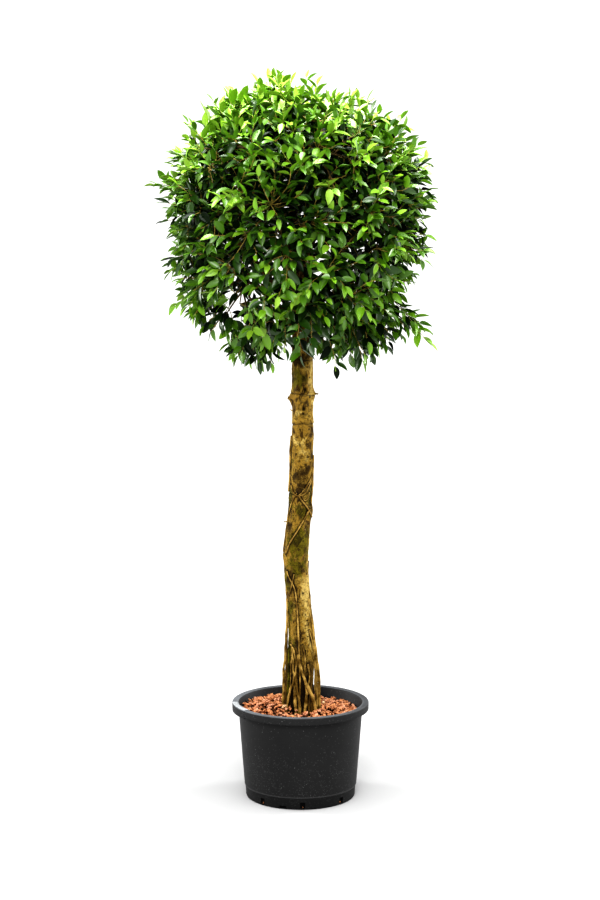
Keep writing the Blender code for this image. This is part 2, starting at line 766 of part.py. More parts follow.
def core_shape(hub, way, chance):
    """A rough ball, flattened along the way out."""
    bm = bmesh.new()
    bmesh.ops.create_icosphere(bm, subdivisions=2, radius=1.0)
    turn = way.to_track_quat("Z", "Y").to_matrix()
    for vert in bm.verts:
        x, y, z = vert.co * chance.uniform(1.0 - CORE_ROUGHNESS, 1.0 + CORE_ROUGHNESS)
        vert.co = hub + turn @ Vector((x * CORE_WIDTH, y * CORE_WIDTH, z * CORE_DEPTH))
    return bm


def limbs_tree(trunk, boughs):
    """A search tree of every limb's surface, swollen a little for clearance."""
    bm = bmesh.new()
    for obj in [trunk, *boughs]:
        bm.from_mesh(obj.data)
    bm.normal_update()
    for vert in bm.verts:
        vert.co += vert.normal * LIMB_CLEARANCE
    tree = BVHTree.FromBMesh(bm)
    bm.free()
    return tree


def main():
    clear_scene()
    topiary = new_collection("lollipop_topiary")
    plastic = principled("pot_plastic", (0.022, 0.023, 0.026), 0.62)
    earth = principled("potting_soil", (0.055, 0.036, 0.024), 0.95)
    lava = principled("lava_chips", (0.36, 0.13, 0.055), 0.90)
    bark = principled("bark", (0.27, 0.19, 0.105), 0.85)
    leaf = principled("leaves", (0.085, 0.19, 0.03), 0.45)
    make_pot(topiary, plastic)
    make_soil(topiary, earth)
    trunk = make_trunk(topiary, bark)
    make_mulch(topiary, lava, trunk)
    masses = plan_masses()
    boughs = make_boughs(masses, topiary, bark)
    tree = limbs_tree(trunk, boughs)
    ways = [way for _, way, _ in masses]
    tips = crown_tips()
    total = 0
    for index, (name, way, limb) in enumerate(masses):
        own = [tip for tip in tips if max(range(len(ways)), key=lambda i: tip.dot(ways[i])) == index]
        total += make_mass(name, way, limb, Space(index, ways, tree), own, topiary, leaf, SEED + index)
    print("leaves", total)


main()
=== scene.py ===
"""Standard lollipop topiary: the looks of a clear-stemmed fig with a clipped crown, in its pot.

Metres, +Z up, seen from its front along +Y. Angles start at the front and turn towards +X.
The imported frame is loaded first. Each piece below stands in its place and rides on its body.
"""

import json
import math
import random

import bmesh
import bpy
import numpy as np
from mathutils import Matrix, Vector, noise

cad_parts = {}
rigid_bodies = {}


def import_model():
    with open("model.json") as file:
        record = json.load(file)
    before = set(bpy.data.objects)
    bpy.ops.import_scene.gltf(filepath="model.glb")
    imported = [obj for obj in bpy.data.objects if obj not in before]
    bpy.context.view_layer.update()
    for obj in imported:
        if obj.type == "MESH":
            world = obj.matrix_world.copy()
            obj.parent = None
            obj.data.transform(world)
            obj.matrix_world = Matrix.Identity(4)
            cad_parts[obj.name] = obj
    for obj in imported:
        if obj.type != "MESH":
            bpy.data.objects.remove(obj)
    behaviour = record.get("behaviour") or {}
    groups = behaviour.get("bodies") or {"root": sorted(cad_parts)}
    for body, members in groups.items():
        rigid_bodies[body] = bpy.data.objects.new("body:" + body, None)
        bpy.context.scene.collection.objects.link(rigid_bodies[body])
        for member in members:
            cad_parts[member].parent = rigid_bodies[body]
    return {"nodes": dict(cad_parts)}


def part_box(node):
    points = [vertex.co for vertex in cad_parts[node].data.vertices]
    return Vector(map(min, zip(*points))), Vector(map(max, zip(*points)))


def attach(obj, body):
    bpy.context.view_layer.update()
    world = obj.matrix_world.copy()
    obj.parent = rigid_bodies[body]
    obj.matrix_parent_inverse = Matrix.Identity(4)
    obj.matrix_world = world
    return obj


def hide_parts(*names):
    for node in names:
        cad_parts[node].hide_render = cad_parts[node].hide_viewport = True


bl_info = {
    "name": "Lollipop Topiary",
    "version": (1, 0, 0),
    "blender": (4, 5, 0),
    "location": "View3D > Sidebar > Topiary",
    "description": "Builds a clipped standard fig in a nursery pot, piece by piece",
    "category": "Add Mesh",
}

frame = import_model()
BODY = "root"
POT_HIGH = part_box("pot")[1]
SOIL_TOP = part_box("potting_soil")[1][2]
FLOOR_RADIUS = 1.7
CAMERA_ASIDE = -0.002

# Pot
RIM_RADIUS = 0.2825
RIM_DROP = 0.029
SKIRT = 0.003
MOUTH_RADIUS = 0.253
WALL = 0.006
WALL_TOP_RADIUS = 0.2565
WALL_FOOT_RADIUS = 0.232
FOOT_HEIGHT = 0.050
FOOT_INSET = 0.003
FOOT_CORNER = 0.007
POT_STEPS = 144
ARC_STEPS = 4
DRAIN_SLOTS = 8
DRAIN_SLOT_WIDTH = 0.021
DRAIN_SLOT_HEIGHT = 0.025
FIRST_SLOT_ANGLE = 2.2
SLOT_ANGLES = tuple(FIRST_SLOT_ANGLE + 360.0 / DRAIN_SLOTS * slot for slot in range(DRAIN_SLOTS))
GATE_ANGLE = -18.7
GATE_SIZE = (0.030, 0.010)
GATE_DEPTH = 0.004
GATE_LIFT = 0.004
LUG_SPAN = (-84.0, -54.0)
LUG_PROUD = 0.004
LUG_CUTS = 23
LUG_BEVEL = 0.0012
POWDER_SCALE = 200.0  # cells of fine specks across a metre of plastic

# Lava chips
CHIP_KINDS = 12
CHIP_SIZES = (0.017, 0.033)
CHIP_SQUASH = (1.0, 0.52, 0.40)
CHIP_TILT = 0.34
CHIP_CLEARANCE = 0.007
MULCH_DEPTH = 0.019
MULCH_MOUND = 0.012
MULCH_HEAP = 0.013
HEAP_RISE = 0.030
HEAP_ANGLE = -120.0
TONE_SHARES = (0.64, 0.10, 0.24, 0.02)
# The chips laid first all take the dark tone, as painted shade in the gaps between the chips
# above.
BURIED_SHARE = 0.45  # the chips laid first, which all have the dark tone
BURIED_SHADE_TONE = 1
GRAINS_IN_SLOT = 2

# Trunk: the same line, taper and knots as the frame's trunk
FORK_HEIGHT = 1.985
TRUNK_FOOT_RADIUS = 0.055
TRUNK_FORK_RADIUS = 0.040
WAIST = 0.009
WAIST_HEIGHT = 0.56
WAIST_SOFTNESS = 0.035
TRUNK_FOOT_X = 0.006
TRUNK_LEAN = 0.003
TRUNK_BOW = 0.024
BOW_HEIGHT = 0.99
BOW_SPREAD = 0.24
KNOT_SPREAD = 0.022
RIPPLE = 0.0011
TRUNK_SIDES = 110
TRUNK_RINGS = 520
SHOULDER = 0.045
SOIL_CLEARANCE = 0.0003
BARK_GIRTH = 0.045  # radius at which the widths of eyes and pores are measured
# Noise on the bark: how fine round it, how fine along it, where it starts, and its height
BARK_WAVES = ((2.2, 13.0, 0.0, 0.0028), (7.0, 26.0, 7.0, 0.0020), (17.0, 95.0, 3.0, 0.0010))
FLUTES = 5
FLUTE_DEPTH = 0.006
FLUTED_HEIGHT = 0.16
PORE_SIZE = 0.0044
# Knots: height, angle, how far each stands out
KNOTS = (
    (1.654, -88, 0.012), (1.668, 92, 0.01), (1.606, 15, 0.005), (1.45, -95, 0.005),
    (1.48, 150, 0.007), (1.18, 100, 0.006), (1.004, -95, 0.007), (1.245, -150, 0.006),
)
# Round eyes where a limb was cut off: height, angle, radius
EYES = (
    (1.614, 6, 0.011), (1.692, 14, 0.0115), (1.595, 3, 0.007), (1.3, 140, 0.008),
    (0.83, -150, 0.007),
)
# Pores and beetle holes: height, angle
PORES = (
    (1.428, -35), (1.416, 31), (0.856, 24), (1.53, 38), (1.74, 48), (1.1, -25), (1.23, 120),
    (1.37, 165), (0.95, -160), (0.74, 35), (1.6, -150), (1.66, 45),
)
# Creases that run right round: height and depth
CREASES = ((1.668, 0.0022), (1.546, 0.0018), (1.268, 0.003), (1.815, 0.0012))
# What the bark's material reads by name, and its patches: height, angle, half height, half
# width in degrees, strength
BARK_VALUES = ("moss", "stain_and_shade", "pale", "hollow_shade")
MOSS = (
    (1.732, -28, 0.048, 48, 1.1), (1.255, 70, 0.05, 32, 1.1), (1.19, 15, 0.04, 60, 0.8),
    (1.076, 20, 0.075, 65, 1), (0.965, 5, 0.05, 55, 0.9), (0.915, -52, 0.045, 30, 1),
    (1.225, -70, 0.075, 34, 1.1), (0.78, -55, 0.06, 22, 0.9), (0.61, -50, 0.06, 30, 0.7),
    (0.44, 30, 0.05, 50, 0.6), (1.5, 160, 0.11, 60, 0.8), (1.12, 180, 0.16, 70, 0.9),
    (0.78, 140, 0.12, 50, 0.8), (0.6, -140, 0.1, 50, 0.8), (1.72, 150, 0.06, 60, 0.7),
    (1.42, -80, 0.09, 20, 0.6),
)
# The first two stains, just below the crown, are painted shade under it; the others are stains.
STAINS = (
    (1.815, -25, 0.034, 45, 1), (1.885, 10, 0.04, 90, 0.7), (1.368, 36, 0.03, 22, 1),
    (1.345, 6, 0.03, 30, 0.9), (1.335, -30, 0.022, 24, 0.8), (1.305, 5, 0.014, 50, 1),
    (1.285, -14, 0.014, 30, 1), (1.245, -8, 0.012, 14, 1), (1.39, 14, 0.014, 14, 0.9),
    (1.47, -72, 0.06, 7, 1), (1.35, -74, 0.06, 6, 0.9), (1.21, -62, 0.03, 9, 0.9),
    (1.52, 62, 0.026, 22, 0.9), (1.64, -60, 0.026, 26, 0.9), (1.525, -45, 0.012, 26, 0.8),
    (1.425, 62, 0.02, 16, 0.7), (0.925, -40, 0.03, 22, 1), (0.88, -20, 0.03, 12, 0.9),
    (0.43, 42, 0.06, 55, 1), (0.43, -30, 0.07, 35, 0.9), (0.64, -20, 0.05, 20, 0.7),
    (1.13, -50, 0.04, 20, 0.7), (1.61, 130, 0.05, 40, 0.8), (1.33, -160, 0.06, 50, 0.9),
    (0.88, 175, 0.06, 40, 0.8), (0.43, 160, 0.08, 90, 0.8),
)
PALE = (
    (1.6, 76, 0.09, 15, 0.9), (1.44, 74, 0.06, 14, 0.8), (1.49, -40, 0.04, 14, 0.7),
    (1.59, -20, 0.02, 24, 0.7), (1.205, 74, 0.03, 14, 0.8), (1.27, -62, 0.02, 10, 0.8),
    (0.9, 66, 0.1, 20, 0.9), (0.64, 52, 0.05, 16, 0.8), (1.75, 55, 0.08, 30, 0.9),
    (1.672, 40, 0.005, 16, 1.3), (1.69, -72, 0.01, 14, 1.2), (1.287, 22, 0.009, 12, 1.3),
    (0.84, 45, 0.11, 38, 0.9), (1.46, 15, 0.07, 60, 0.5), (1.03, 78, 0.12, 24, 0.8),
    (0.7, 35, 0.06, 30, 0.7), (1.2, -140, 0.1, 40, 0.7), (1.55, -120, 0.09, 40, 0.7),
    (0.95, 110, 0.11, 30, 0.7), (0.7, -120, 0.1, 40, 0.6),
)
# Aerial roots that prop the foot: height and angle where each leaves the trunk, angle and
# distance from the trunk's axis where it reaches the ground, and radius
AERIAL_ROOTS = (
    (0.86, -72, -90, 0.079, 0.0055), (0.79, -96, -114, 0.075, 0.005),
    (0.65, -50, -6, 0.062, 0.0045), (0.6, -20, -64, 0.072, 0.0045), (0.605, -16, 62, 0.065, 0.007),
    (0.84, 56, 90, 0.073, 0.0052), (0.76, 118, 124, 0.072, 0.0058), (0.8, 150, 160, 0.075, 0.0062),
    (0.74, 192, 180, 0.071, 0.0048), (0.72, 214, 240, 0.075, 0.0062),
)
# Finer aerial roots among them: the same values
FINE_ROOTS = (
    (0.7, -84, -86, 0.07, 0.003), (0.74, -80, -90, 0.062, 0.0032), (0.66, -96, -92, 0.055, 0.0034),
    (0.8, 88, 90, 0.064, 0.0036), (0.74, 66, 92, 0.056, 0.0034), (0.56, 50, 26, 0.064, 0.0034),
    (0.53, 46, 52, 0.05, 0.008), (0.76, -66, -76, 0.062, 0.004), (0.72, -100, -98, 0.064, 0.003),
    (0.68, -84, -70, 0.073, 0.0026), (0.78, 64, 84, 0.064, 0.0036), (0.7, 86, 96, 0.067, 0.0032),
    (0.66, 60, 104, 0.06, 0.003), (0.64, 100, 112, 0.064, 0.0034), (0.7, 140, 136, 0.066, 0.0036),
    (0.66, 170, 204, 0.062, 0.0032), (0.72, 228, 222, 0.064, 0.0036),
    (0.52, -46, -30, 0.047, 0.0072), (0.47, 34, 12, 0.048, 0.0066),
)
ROOT_SUNK = 0.004
ROOT_STEPS = 40
# Thin roots that cling to the bark: radius, then height and angle of the points they pass
CLINGING_ROOTS = (
    (0.0034, (1.372, 84), (1.345, 64), (1.321, 46), (1.29, 22), (1.261, -6)),
    (0.003, (1.33, 66), (1.3, 44), (1.272, 26), (1.258, 2)),
    (0.0042, (1.5, -84), (1.44, -80), (1.38, -84), (1.32, -80), (1.27, -86)),
    (0.0032, (1.3, -62), (1.272, -44), (1.258, -16), (1.262, 10)),
    (0.0036, (1.42, 84), (1.37, 74), (1.3, 78), (1.23, 70), (1.19, 82)),
    (0.0026, (1.258, 8), (1.238, 22), (1.248, 40), (1.272, 46)),
    (0.0036, (1.262, -12), (1.24, 6), (1.219, 29), (1.19, 60), (1.165, 84)),
    (0.0038, (1.2, 62), (1.185, 46), (1.117, 0), (1.062, -34), (1.015, -56)),
    (0.003, (1.27, -20), (1.225, -48), (1.17, -62), (1.11, -76), (1.02, -84)),
    (0.0034, (0.945, -50), (0.925, -42), (0.869, -12), (0.778, -9), (0.7, -11)),
    (0.004, (0.78, -9), (0.662, -11), (0.56, -10), (0.456, -10), (0.35, -14)),
    (0.0028, (0.935, -12), (0.9, -22), (0.87, -34), (0.82, -62)),
    (0.003, (0.76, 70), (0.745, 76), (0.7, 84), (0.642, 88)),
    (0.0032, (0.64, -58), (0.606, -34), (0.484, -27), (0.401, -16), (0.345, -10)),
    (0.0034, (0.615, -38), (0.56, -58), (0.474, -72), (0.345, -74)),
    (0.003, (0.64, 4), (0.585, 16), (0.5, 14), (0.42, 26), (0.345, 40)),
    (0.0036, (0.56, 30), (0.5, 40), (0.43, 20), (0.345, 8)),
    (0.003, (0.7, 40), (0.64, 58), (0.56, 66), (0.46, 58), (0.345, 66)),
    (0.0034, (1.06, 150), (0.98, 172), (0.88, 186), (0.76, 176), (0.6, 184)),
    (0.0038, (1.18, -120), (1.1, -140), (0.98, -150), (0.85, -132), (0.64, -140)),
    (0.0032, (0.98, 96), (0.9, 120), (0.78, 128), (0.65, 112), (0.48, 118)),
    (0.0036, (0.82, -110), (0.7, -126), (0.56, -118), (0.345, -130)),
    (0.0034, (0.7, 170), (0.6, 152), (0.48, 148), (0.345, 140)),
    (0.003, (0.66, -160), (0.56, -176), (0.44, -170), (0.345, -164)),
)
CLING_STEPS = 30
STUB_STEPS = 4
ROOT_SIDES = 10
ROOT_SWAY = 0.0050
SWAY_SEED = 5  # the sways of roots and boughs come from noise that has to be seeded
# Skins of thin roots, tan, brown and mossy, and the radii past which a root is tan or brown
SKIN_SHARES = (0.50, 0.35, 0.15)
STOUT_ROOT = 0.0042
BROWN_ROOT = 0.0075
# The trunk's hollow foot behind the aerial roots, darkened with painted shade: the strength and
# height of a dark stain at the soil, and the height where near-black shade begins and over how far
# it deepens
FOOT_SHADE = 0.55
FOOT_SHADE_HEIGHT = 0.24
FOOT_SHADE_TOP = 0.64
FOOT_SHADE_FADE = 0.17
# Broken twig stubs: height, angle, length, radius
STUBS = (
    (1.672, 84, 0.014, 0.0032), (1.652, -88, 0.007, 0.007), (1.4, -92, 0.006, 0.005),
    (1.145, -86, 0.014, 0.0022), (1.6, -94, 0.01, 0.0022), (1.24, 150, 0.014, 0.004),
    (1.5, -170, 0.012, 0.004),
)

# Crown: the same outline, tiers of limbs and source twigs as the frame
CROWN_CENTRE = Vector((-0.020, 0.0, 2.420))
CROWN_HALF_WIDTH = 0.555
CROWN_RISE = 0.520
CROWN_DROP = 0.660
SQUARENESS_ABOVE = 2.25
SQUARENESS_BELOW = 2.1
# Tiers of limbs: name, how many, elevation, first angle, height of the first foot, radius
TIERS = (
    ("top", 1, 90.0, 0.0, FORK_HEIGHT - 0.012, 0.022),
    ("upper", 5, 36.0, 20.0, 2.070, 0.011),
    ("middle", 5, -8.0, -12.0, 1.876, 0.015),
    ("lower", 5, -50.0, 24.0, 1.828, 0.011),
)
HUB_REACH = 0.61
FOOT_STAGGER = 0.021
LIMB_TIP_SHARE = 0.45
BOUGH_STEPS = 36
BOUGH_SIDES = 18
BOUGH_SWAY = 0.004
BOUGH_RELIEF = 0.0012
BOUGH_STAIN = 0.55
LIMB_BEND = Vector((0.42, 0.42, 0.66))
LEADER_SWAY = Vector((-0.055, 0.012, 0.0))
TWIG_TIPS = 102
BARE_BELOW = -72.0
TWIG_LIFT = 0.035
TWIG_STEPS = 10
TWIG_RADII = (0.0048, 0.0022)
TIP_DEPTH = 0.110  # how far inside the outline a source twig ends
GOLDEN_ANGLE = math.pi * (3.0 - math.sqrt(5.0))
# Young shoots: angle, elevation, how far their leaves reach past the outline
SHOOTS = (
    (90, -45, 0.225), (-90, -39, 0.095), (-91, 9, 0.085), (88, -22, 0.06), (-85, 78, 0.065),
    (-90, 60, 0.04), (92, -60, 0.08),
)
SHOOT_TWIG_SHORT = 0.12
SHOOT_SPRAYS = 3
SHOOT_TIP = 0.075
SHOOT_GAP = 0.055
SHOOT_REACH = 0.13

# Leaves: rows along a blade and its width at each, as shares of its length and width
BLADE_ALONG = (0.0, 0.08, 0.24, 0.45, 0.66, 0.84, 0.94, 1.0)
BLADE_WIDTH = (0.0, 0.50, 0.90, 1.0, 0.83, 0.46, 0.16, 0.0)
# How far each kind of blade folds, curls and twists, and how uneven its halves are
BLADE_KINDS = (
    (0.60, 0.16, 0.15, 0.03), (0.40, 0.27, -0.20, -0.03), (0.80, 0.10, 0.10, 0.02),
    (0.30, 0.36, 0.30, -0.02), (0.50, 0.05, -0.35, 0.04),
)
# Roughness and share of the gloss of each tone of leaf, from the oldest to the young tips; dealt
# out by place, the tones also paint shade deep in the crown and light at its outside, top and
# bottom
LEAF_FINISHES = ((0.36, 0.4), (0.38, 1.4), (0.40, 1.7), (0.40, 1.6), (0.40, 1.5), (0.44, 1.5))
TONES = len(LEAF_FINISHES)
LEAF_COUNTS = (6, 10)
LEAF_TURN = math.tau * 0.382  # from each leaf to the next round their twig
LEAF_LEAN = (38.0, 66.0)
TIP_LEAF_LEAN = (5.0, 25.0)
LEAF_REACH = 0.062
STALK_LENGTH = 0.008
STALK_RADII = (0.0011, 0.0008)
BUD_SIZE = 0.36
# Colour, roughness and gloss of the twigs' skins
TWIG_SKINS = (
    ("twig_green", (0.26, 0.30, 0.05), 0.6, 0.4),
    ("twig_tan", (0.30, 0.22, 0.05), 0.65, 0.4),
    ("twig_brown", (0.095, 0.062, 0.018), 0.75, 0.3),
)
GREEN_TWIG, TAN_TWIG, BROWN_TWIG = range(3)
FINE_TWIG_STEPS = 6
FINE_TWIG_RADII = (0.0019, 0.0010)
SHORTEST_TWIG = 0.055
SHADE_DEPTH = 0.14
# Layers of sprays: the setting that counts them, a turn, the least and the greatest depth
SPRAY_LAYERS = (
    ("outer_sprays", 0.3, 0.025, 0.085),
    ("middle_sprays", 1.1, 0.095, 0.150),
    ("inner_sprays", 2.3, 0.140, 0.240),
    ("core_sprays", 3.1, 0.260, 0.400),
)
OUTER_BARE_BELOW = -77.0
INNER_BARE_BELOW = -66.0
# Outer sprays that the shears missed, and how far they reach past the others
STRAY_SHARE = 0.20
STRAY_REACH = (0.020, 0.070)
# Where the outline swells or is cut back: angle, elevation, depth, spread in degrees
DENTS = (
    (-80, 48, 0.06, 26), (-85, -14, 0.038, 24), (95, 6, -0.014, 22), (-90, 10, -0.02, 12),
    (90, -26, -0.015, 10), (30, 60, 0.022, 20), (150, 30, 0.03, 24), (-150, -20, 0.03, 24),
    (180, 5, -0.02, 20), (60, -60, 0.02, 20), (-35, 20, 0.02, 14), (20, -18, 0.03, 13),
    (2, -54, 0.08, 7), (2, -65, 0.14, 8), (2, -77, 0.14, 9), (90, 63, 0.062, 17),
    (90, 80, 0.026, 14), (90, -36, 0.04, 9),
)
LUMPINESS = 0.030
# Single sprays that stand out of the outline: angle, elevation, how far
LOOSE_SPRAYS = (
    (-90, 52, 0.04), (-70, 57, 0.03), (-112, 50, 0.035), (-84, 63, 0.03), (-60, 48, 0.01),
    (75, -52, 0.06), (58, -57, 0.05), (100, -51, 0.045), (86, -61, 0.05), (70, -46, 0.03),
    (-75, -68, 0.045), (-58, -71, 0.04), (-95, -66, 0.04), (-50, -64, 0.04), (62, -74, 0.06),
    (85, -69, 0.045), (-80, -55, 0.03), (-100, -45, 0.04), (-90, -22, 0.03), (92, 20, 0.02),
    (88, 2, 0.02), (-88, 24, 0.02), (92, -12, 0.03), (150, -58, 0.05), (200, -62, 0.05),
    (170, 40, 0.03), (215, 20, 0.03), (130, 55, 0.03), (90, -50, 0.1), (82, -47, 0.09),
    (96, -55, 0.09), (88, -44, 0.1), (-70, -76, 0.035), (-100, -75, 0.035), (-55, -79, 0.03),
    (70, -63, 0.07), (88, -62, 0.085), (95, -57, 0.09), (-88, -47, 0.025), (-97, -49, 0.035),
    (-82, -52, 0.03), (-90, 84, 0.05), (-90, 73, 0.045), (84, -66, 0.08), (1, -52, 0.06),
    (10, -56, 0.06), (-7, -58, 0.06), (4, -61, 0.07),
)
LOOSE_TWIG = 0.14
# Places where the sky shows through: x, z, radius, and the share of sprays that grow there
THIN_PLACES = ((-0.3, 2.015, 0.084), (0.11, 1.93, 0.03), (-0.19, 1.84, 0.034))
THIN_SHARE = 0.06


# ------------------------------------------------------------------ shader expressions
def joined(operation, reflected=False):
    """A method of Wire that joins it and another value in a Math node."""

    def method(wire, other):
        values = (other, wire) if reflected else (wire, other)
        return wire.math(operation, *values)

    return method


class Wire:
    """A socket that takes part in sums: each operator adds a Math node to its tree."""

    def __init__(self, paint, socket):
        self.paint, self.socket = paint, socket

    def math(self, operation, *values, clamp=False):
        settings = {"operation": operation, "use_clamp": clamp}
        return self.paint.node("Math", settings, dict(enumerate(values)))

    __add__ = __radd__ = joined("ADD")
    __mul__ = __rmul__ = joined("MULTIPLY")
    __sub__ = joined("SUBTRACT")
    __rsub__ = joined("SUBTRACT", reflected=True)
    __pow__ = joined("POWER")
    __lt__ = joined("LESS_THAN")

    def __abs__(self):
        return self.math("ABSOLUTE", self)

    def clamped(self):
        return self.math("ADD", self, 0.0, clamp=True)

    def between(self, low, high):
        """0 at low and 1 at high, smoothly, and level beyond them."""
        values = {"Value": self, "From Min": low, "From Max": high}
        return self.paint.node("MapRange", {"interpolation_type": "SMOOTHSTEP"}, values)


class Paint:
    """A material under construction, with one method for any node that it needs."""

    def __init__(self, name):
        self.material = bpy.data.materials.new(name)
        self.material.use_nodes = True
        self.tree = self.material.node_tree
        self.shader = self.tree.nodes["Principled BSDF"]

    def fill(self, socket, value):
        """Link a wire to a socket, or set the socket's own value."""
        if isinstance(value, Wire):
            self.tree.links.new(value.socket, socket)
        elif socket.type == "RGBA":
            socket.default_value = (*value, 1.0)
        else:
            socket.default_value = value

    def node(self, kind, settings=None, values=None, output=0):
        made = self.tree.nodes.new("ShaderNode" + kind)
        for key, value in (settings or {}).items():
            setattr(made, key, value)
        for key, value in (values or {}).items():
            self.fill(made.inputs[key], value)
        return Wire(self, made.outputs[output])

    def place(self):
        return self.node("TexCoord", output="Object")

    def axis(self, place, name):
        return self.node("SeparateXYZ", {}, {0: place}, name)

    def drawn(self, place, rise):
        """The place with its height scaled, so that a pattern is drawn out or squeezed."""
        return self.node("Mapping", {}, {"Vector": place, "Scale": (1.0, 1.0, rise)})

    def noise(self, place, scale, detail=3.0, roughness=0.55, distortion=0.0):
        values = {
            "Vector": place, "Scale": scale, "Detail": detail, "Roughness": roughness,
            "Distortion": distortion,
        }
        return self.node("TexNoise", {}, values, "Fac")

    def cells(self, place, scale, output="Distance"):
        return self.node("TexVoronoi", {}, {"Vector": place, "Scale": scale}, output)

    def attribute(self, name):
        return self.node("Attribute", {"attribute_name": name}, output="Fac")

    def mix(self, factor, first, second):
        return self.node("Mix", {"data_type": "RGBA"}, {0: factor, 6: first, 7: second}, 2)

    def layered(self, colour, *layers):
        """The colour with others laid over it in turn, each as a strength and a colour."""
        for strength, layer in layers:
            colour = self.mix(strength, colour, layer)
        return colour

    def finished(self, colour, roughness, gloss, relief=None, strength=1.0, depth=0.0):
        """The material, once its shader has its colour, roughness, gloss and relief."""
        values = {"Base Color": colour, "Roughness": roughness, "Specular IOR Level": gloss}
        if relief is not None:
            heights = {"Height": relief, "Strength": strength, "Distance": depth}
            values["Normal"] = self.node("Bump", {}, heights, "Normal")
        for key, value in values.items():
            self.fill(self.shader.inputs[key], value)
        return self.material


# ------------------------------------------------------------------ shapes
def polar(angle, radius, z=0.0):
    """A point at an angle from the front, turning towards +X."""
    return Vector((radius * math.sin(angle), -radius * math.cos(angle), z))


def direction(angle, elevation):
    flat = polar(math.radians(angle), math.cos(math.radians(elevation)))
    return Vector((flat.x, flat.y, math.sin(math.radians(elevation))))


def smooth(share):
    return share * share * (3.0 - 2.0 * share)


def clamped(share):
    return min(max(share, 0.0), 1.0)


def bell(away, width, power=2):
    """1 at nought, falling off over a width."""
    return math.exp(-((away / width) ** power))


def around(angle, turn):
    """The shorter way to an angle from a feature's angle in degrees."""
    return math.remainder(angle - math.radians(turn), math.tau)


def add_piece(name, mesh, slot, *replaced, materials=(), shade_angle=None):
    """A finished mesh as a piece of the object that rides on its body."""
    obj = bpy.data.objects.new(name, mesh)
    bpy.context.scene.collection.objects.link(obj)
    for material in materials:
        mesh.materials.append(material)
    if shade_angle is not None:
        mesh.shade_smooth()
        mesh.set_sharp_from_angle(angle=math.radians(shade_angle))
    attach(obj, BODY)
    if replaced:
        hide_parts(*replaced)
    return obj


def mesh_of(bm, name):
    """The edit mesh as a mesh with its faces pointing out, and the edit mesh freed."""
    bm.normal_update()
    bmesh.ops.recalc_face_normals(bm, faces=bm.faces[:])
    if bm.calc_volume(signed=True) < 0.0:
        bmesh.ops.reverse_faces(bm, faces=bm.faces[:])
    mesh = bpy.data.meshes.new(name)
    bm.to_mesh(mesh)
    bm.free()
    return mesh


def template(bm):
    """A small shape as arrays: its points, its faces' corners and each face's corner count."""
    bm.normal_update()
    bm.verts.index_update()
    points = np.array([vert.co[:] for vert in bm.verts])
    corners = np.array([vert.index for face in bm.faces for vert in face.verts])
    sizes = np.array([len(face.verts) for face in bm.faces])
    bm.free()
    return points, corners, sizes


class Batch:
    """Many small shapes kept as arrays until they are joined into one piece."""

    def __init__(self):
        self.points, self.corners, self.sizes, self.tones, self.count = [], [], [], [], 0

    def add(self, shape, tone=0):
        points, corners, sizes = shape
        self.points.append(points)
        self.corners.append(corners + self.count)
        self.sizes.append(sizes)
        self.tones.append(np.full(len(sizes), tone, dtype=np.int32))
        self.count += len(points)

    def place(self, shape, where, columns, size, tone=0):
        """A copy of a shape, turned to three columns, scaled and moved."""
        points, corners, sizes = shape
        moved = points * size @ np.array([column[:] for column in columns]) + np.array(where[:])
        self.add((moved, corners, sizes), tone)

    def mesh(self, name):
        points = np.concatenate(self.points)
        corners = np.concatenate(self.corners).astype(np.int32)
        sizes = np.concatenate(self.sizes)
        mesh = bpy.data.meshes.new(name)
        mesh.vertices.add(len(points))
        mesh.vertices.foreach_set("co", points.astype(np.float32).ravel())
        mesh.loops.add(len(corners))
        mesh.loops.foreach_set("vertex_index", corners)
        mesh.polygons.add(len(sizes))
        starts = np.concatenate([[0], np.cumsum(sizes)[:-1]]).astype(np.int32)
        mesh.polygons.foreach_set("loop_start", starts)
        mesh.polygons.foreach_set("material_index", np.concatenate(self.tones))
        mesh.update(calc_edges=True)
        mesh.shade_smooth()
        return mesh


def tube(points, radii, sides):
    """A closed round tube along a line of points, as arrays."""
    ways = [(b - a).normalized() for a, b in zip(points, points[1:])]
    ways.append(ways[-1])
    corner = ways[0].orthogonal().normalized()
    rings = []
    for point, way, radius in zip(points, ways, radii):
        corner = (corner - way * corner.dot(way)).normalized()
        across = way.cross(corner)
        for side in range(sides):
            turn = math.tau * side / sides
            rings.append(point + (corner * math.cos(turn) + across * math.sin(turn)) * radius)
    corners, sizes = [], []
    for ring in range(len(points) - 1):
        low, high = ring * sides, (ring + 1) * sides
        for side in range(sides):
            after = (side + 1) % sides
            corners += (low + side, low + after, high + after, high + side)
            sizes.append(4)
    corners += list(range(sides))[::-1]
    corners += list(range((len(points) - 1) * sides, len(points) * sides))
    sizes += [sides, sides]
    return np.array([ring[:] for ring in rings]), np.array(corners), np.array(sizes)


def bowed(start, bend, end, steps):
    """Points along the curve that leaves start for bend and arrives at end."""
    shares = [step / steps for step in range(steps + 1)]
    return [start.lerp(bend, t).lerp(bend.lerp(end, t), t) for t in shares]


def spline(points, steps):
    """A smooth line of steps + 1 points through all of the points."""
    padded = [points[0] * 2 - points[1], *points, points[-1] * 2 - points[-2]]
    line = []
    for step in range(steps + 1):
        at = (len(points) - 1) * step / steps
        first = min(int(at), len(points) - 2)
        t = at - first
        a, b, c, d = padded[first : first + 4]
        line.append(
            0.5 * (2 * b + (c - a) * t + (2 * a - 5 * b + 4 * c - d) * t**2
                   + (3 * b - a - 3 * c + d) * t**3)
        )
    return line


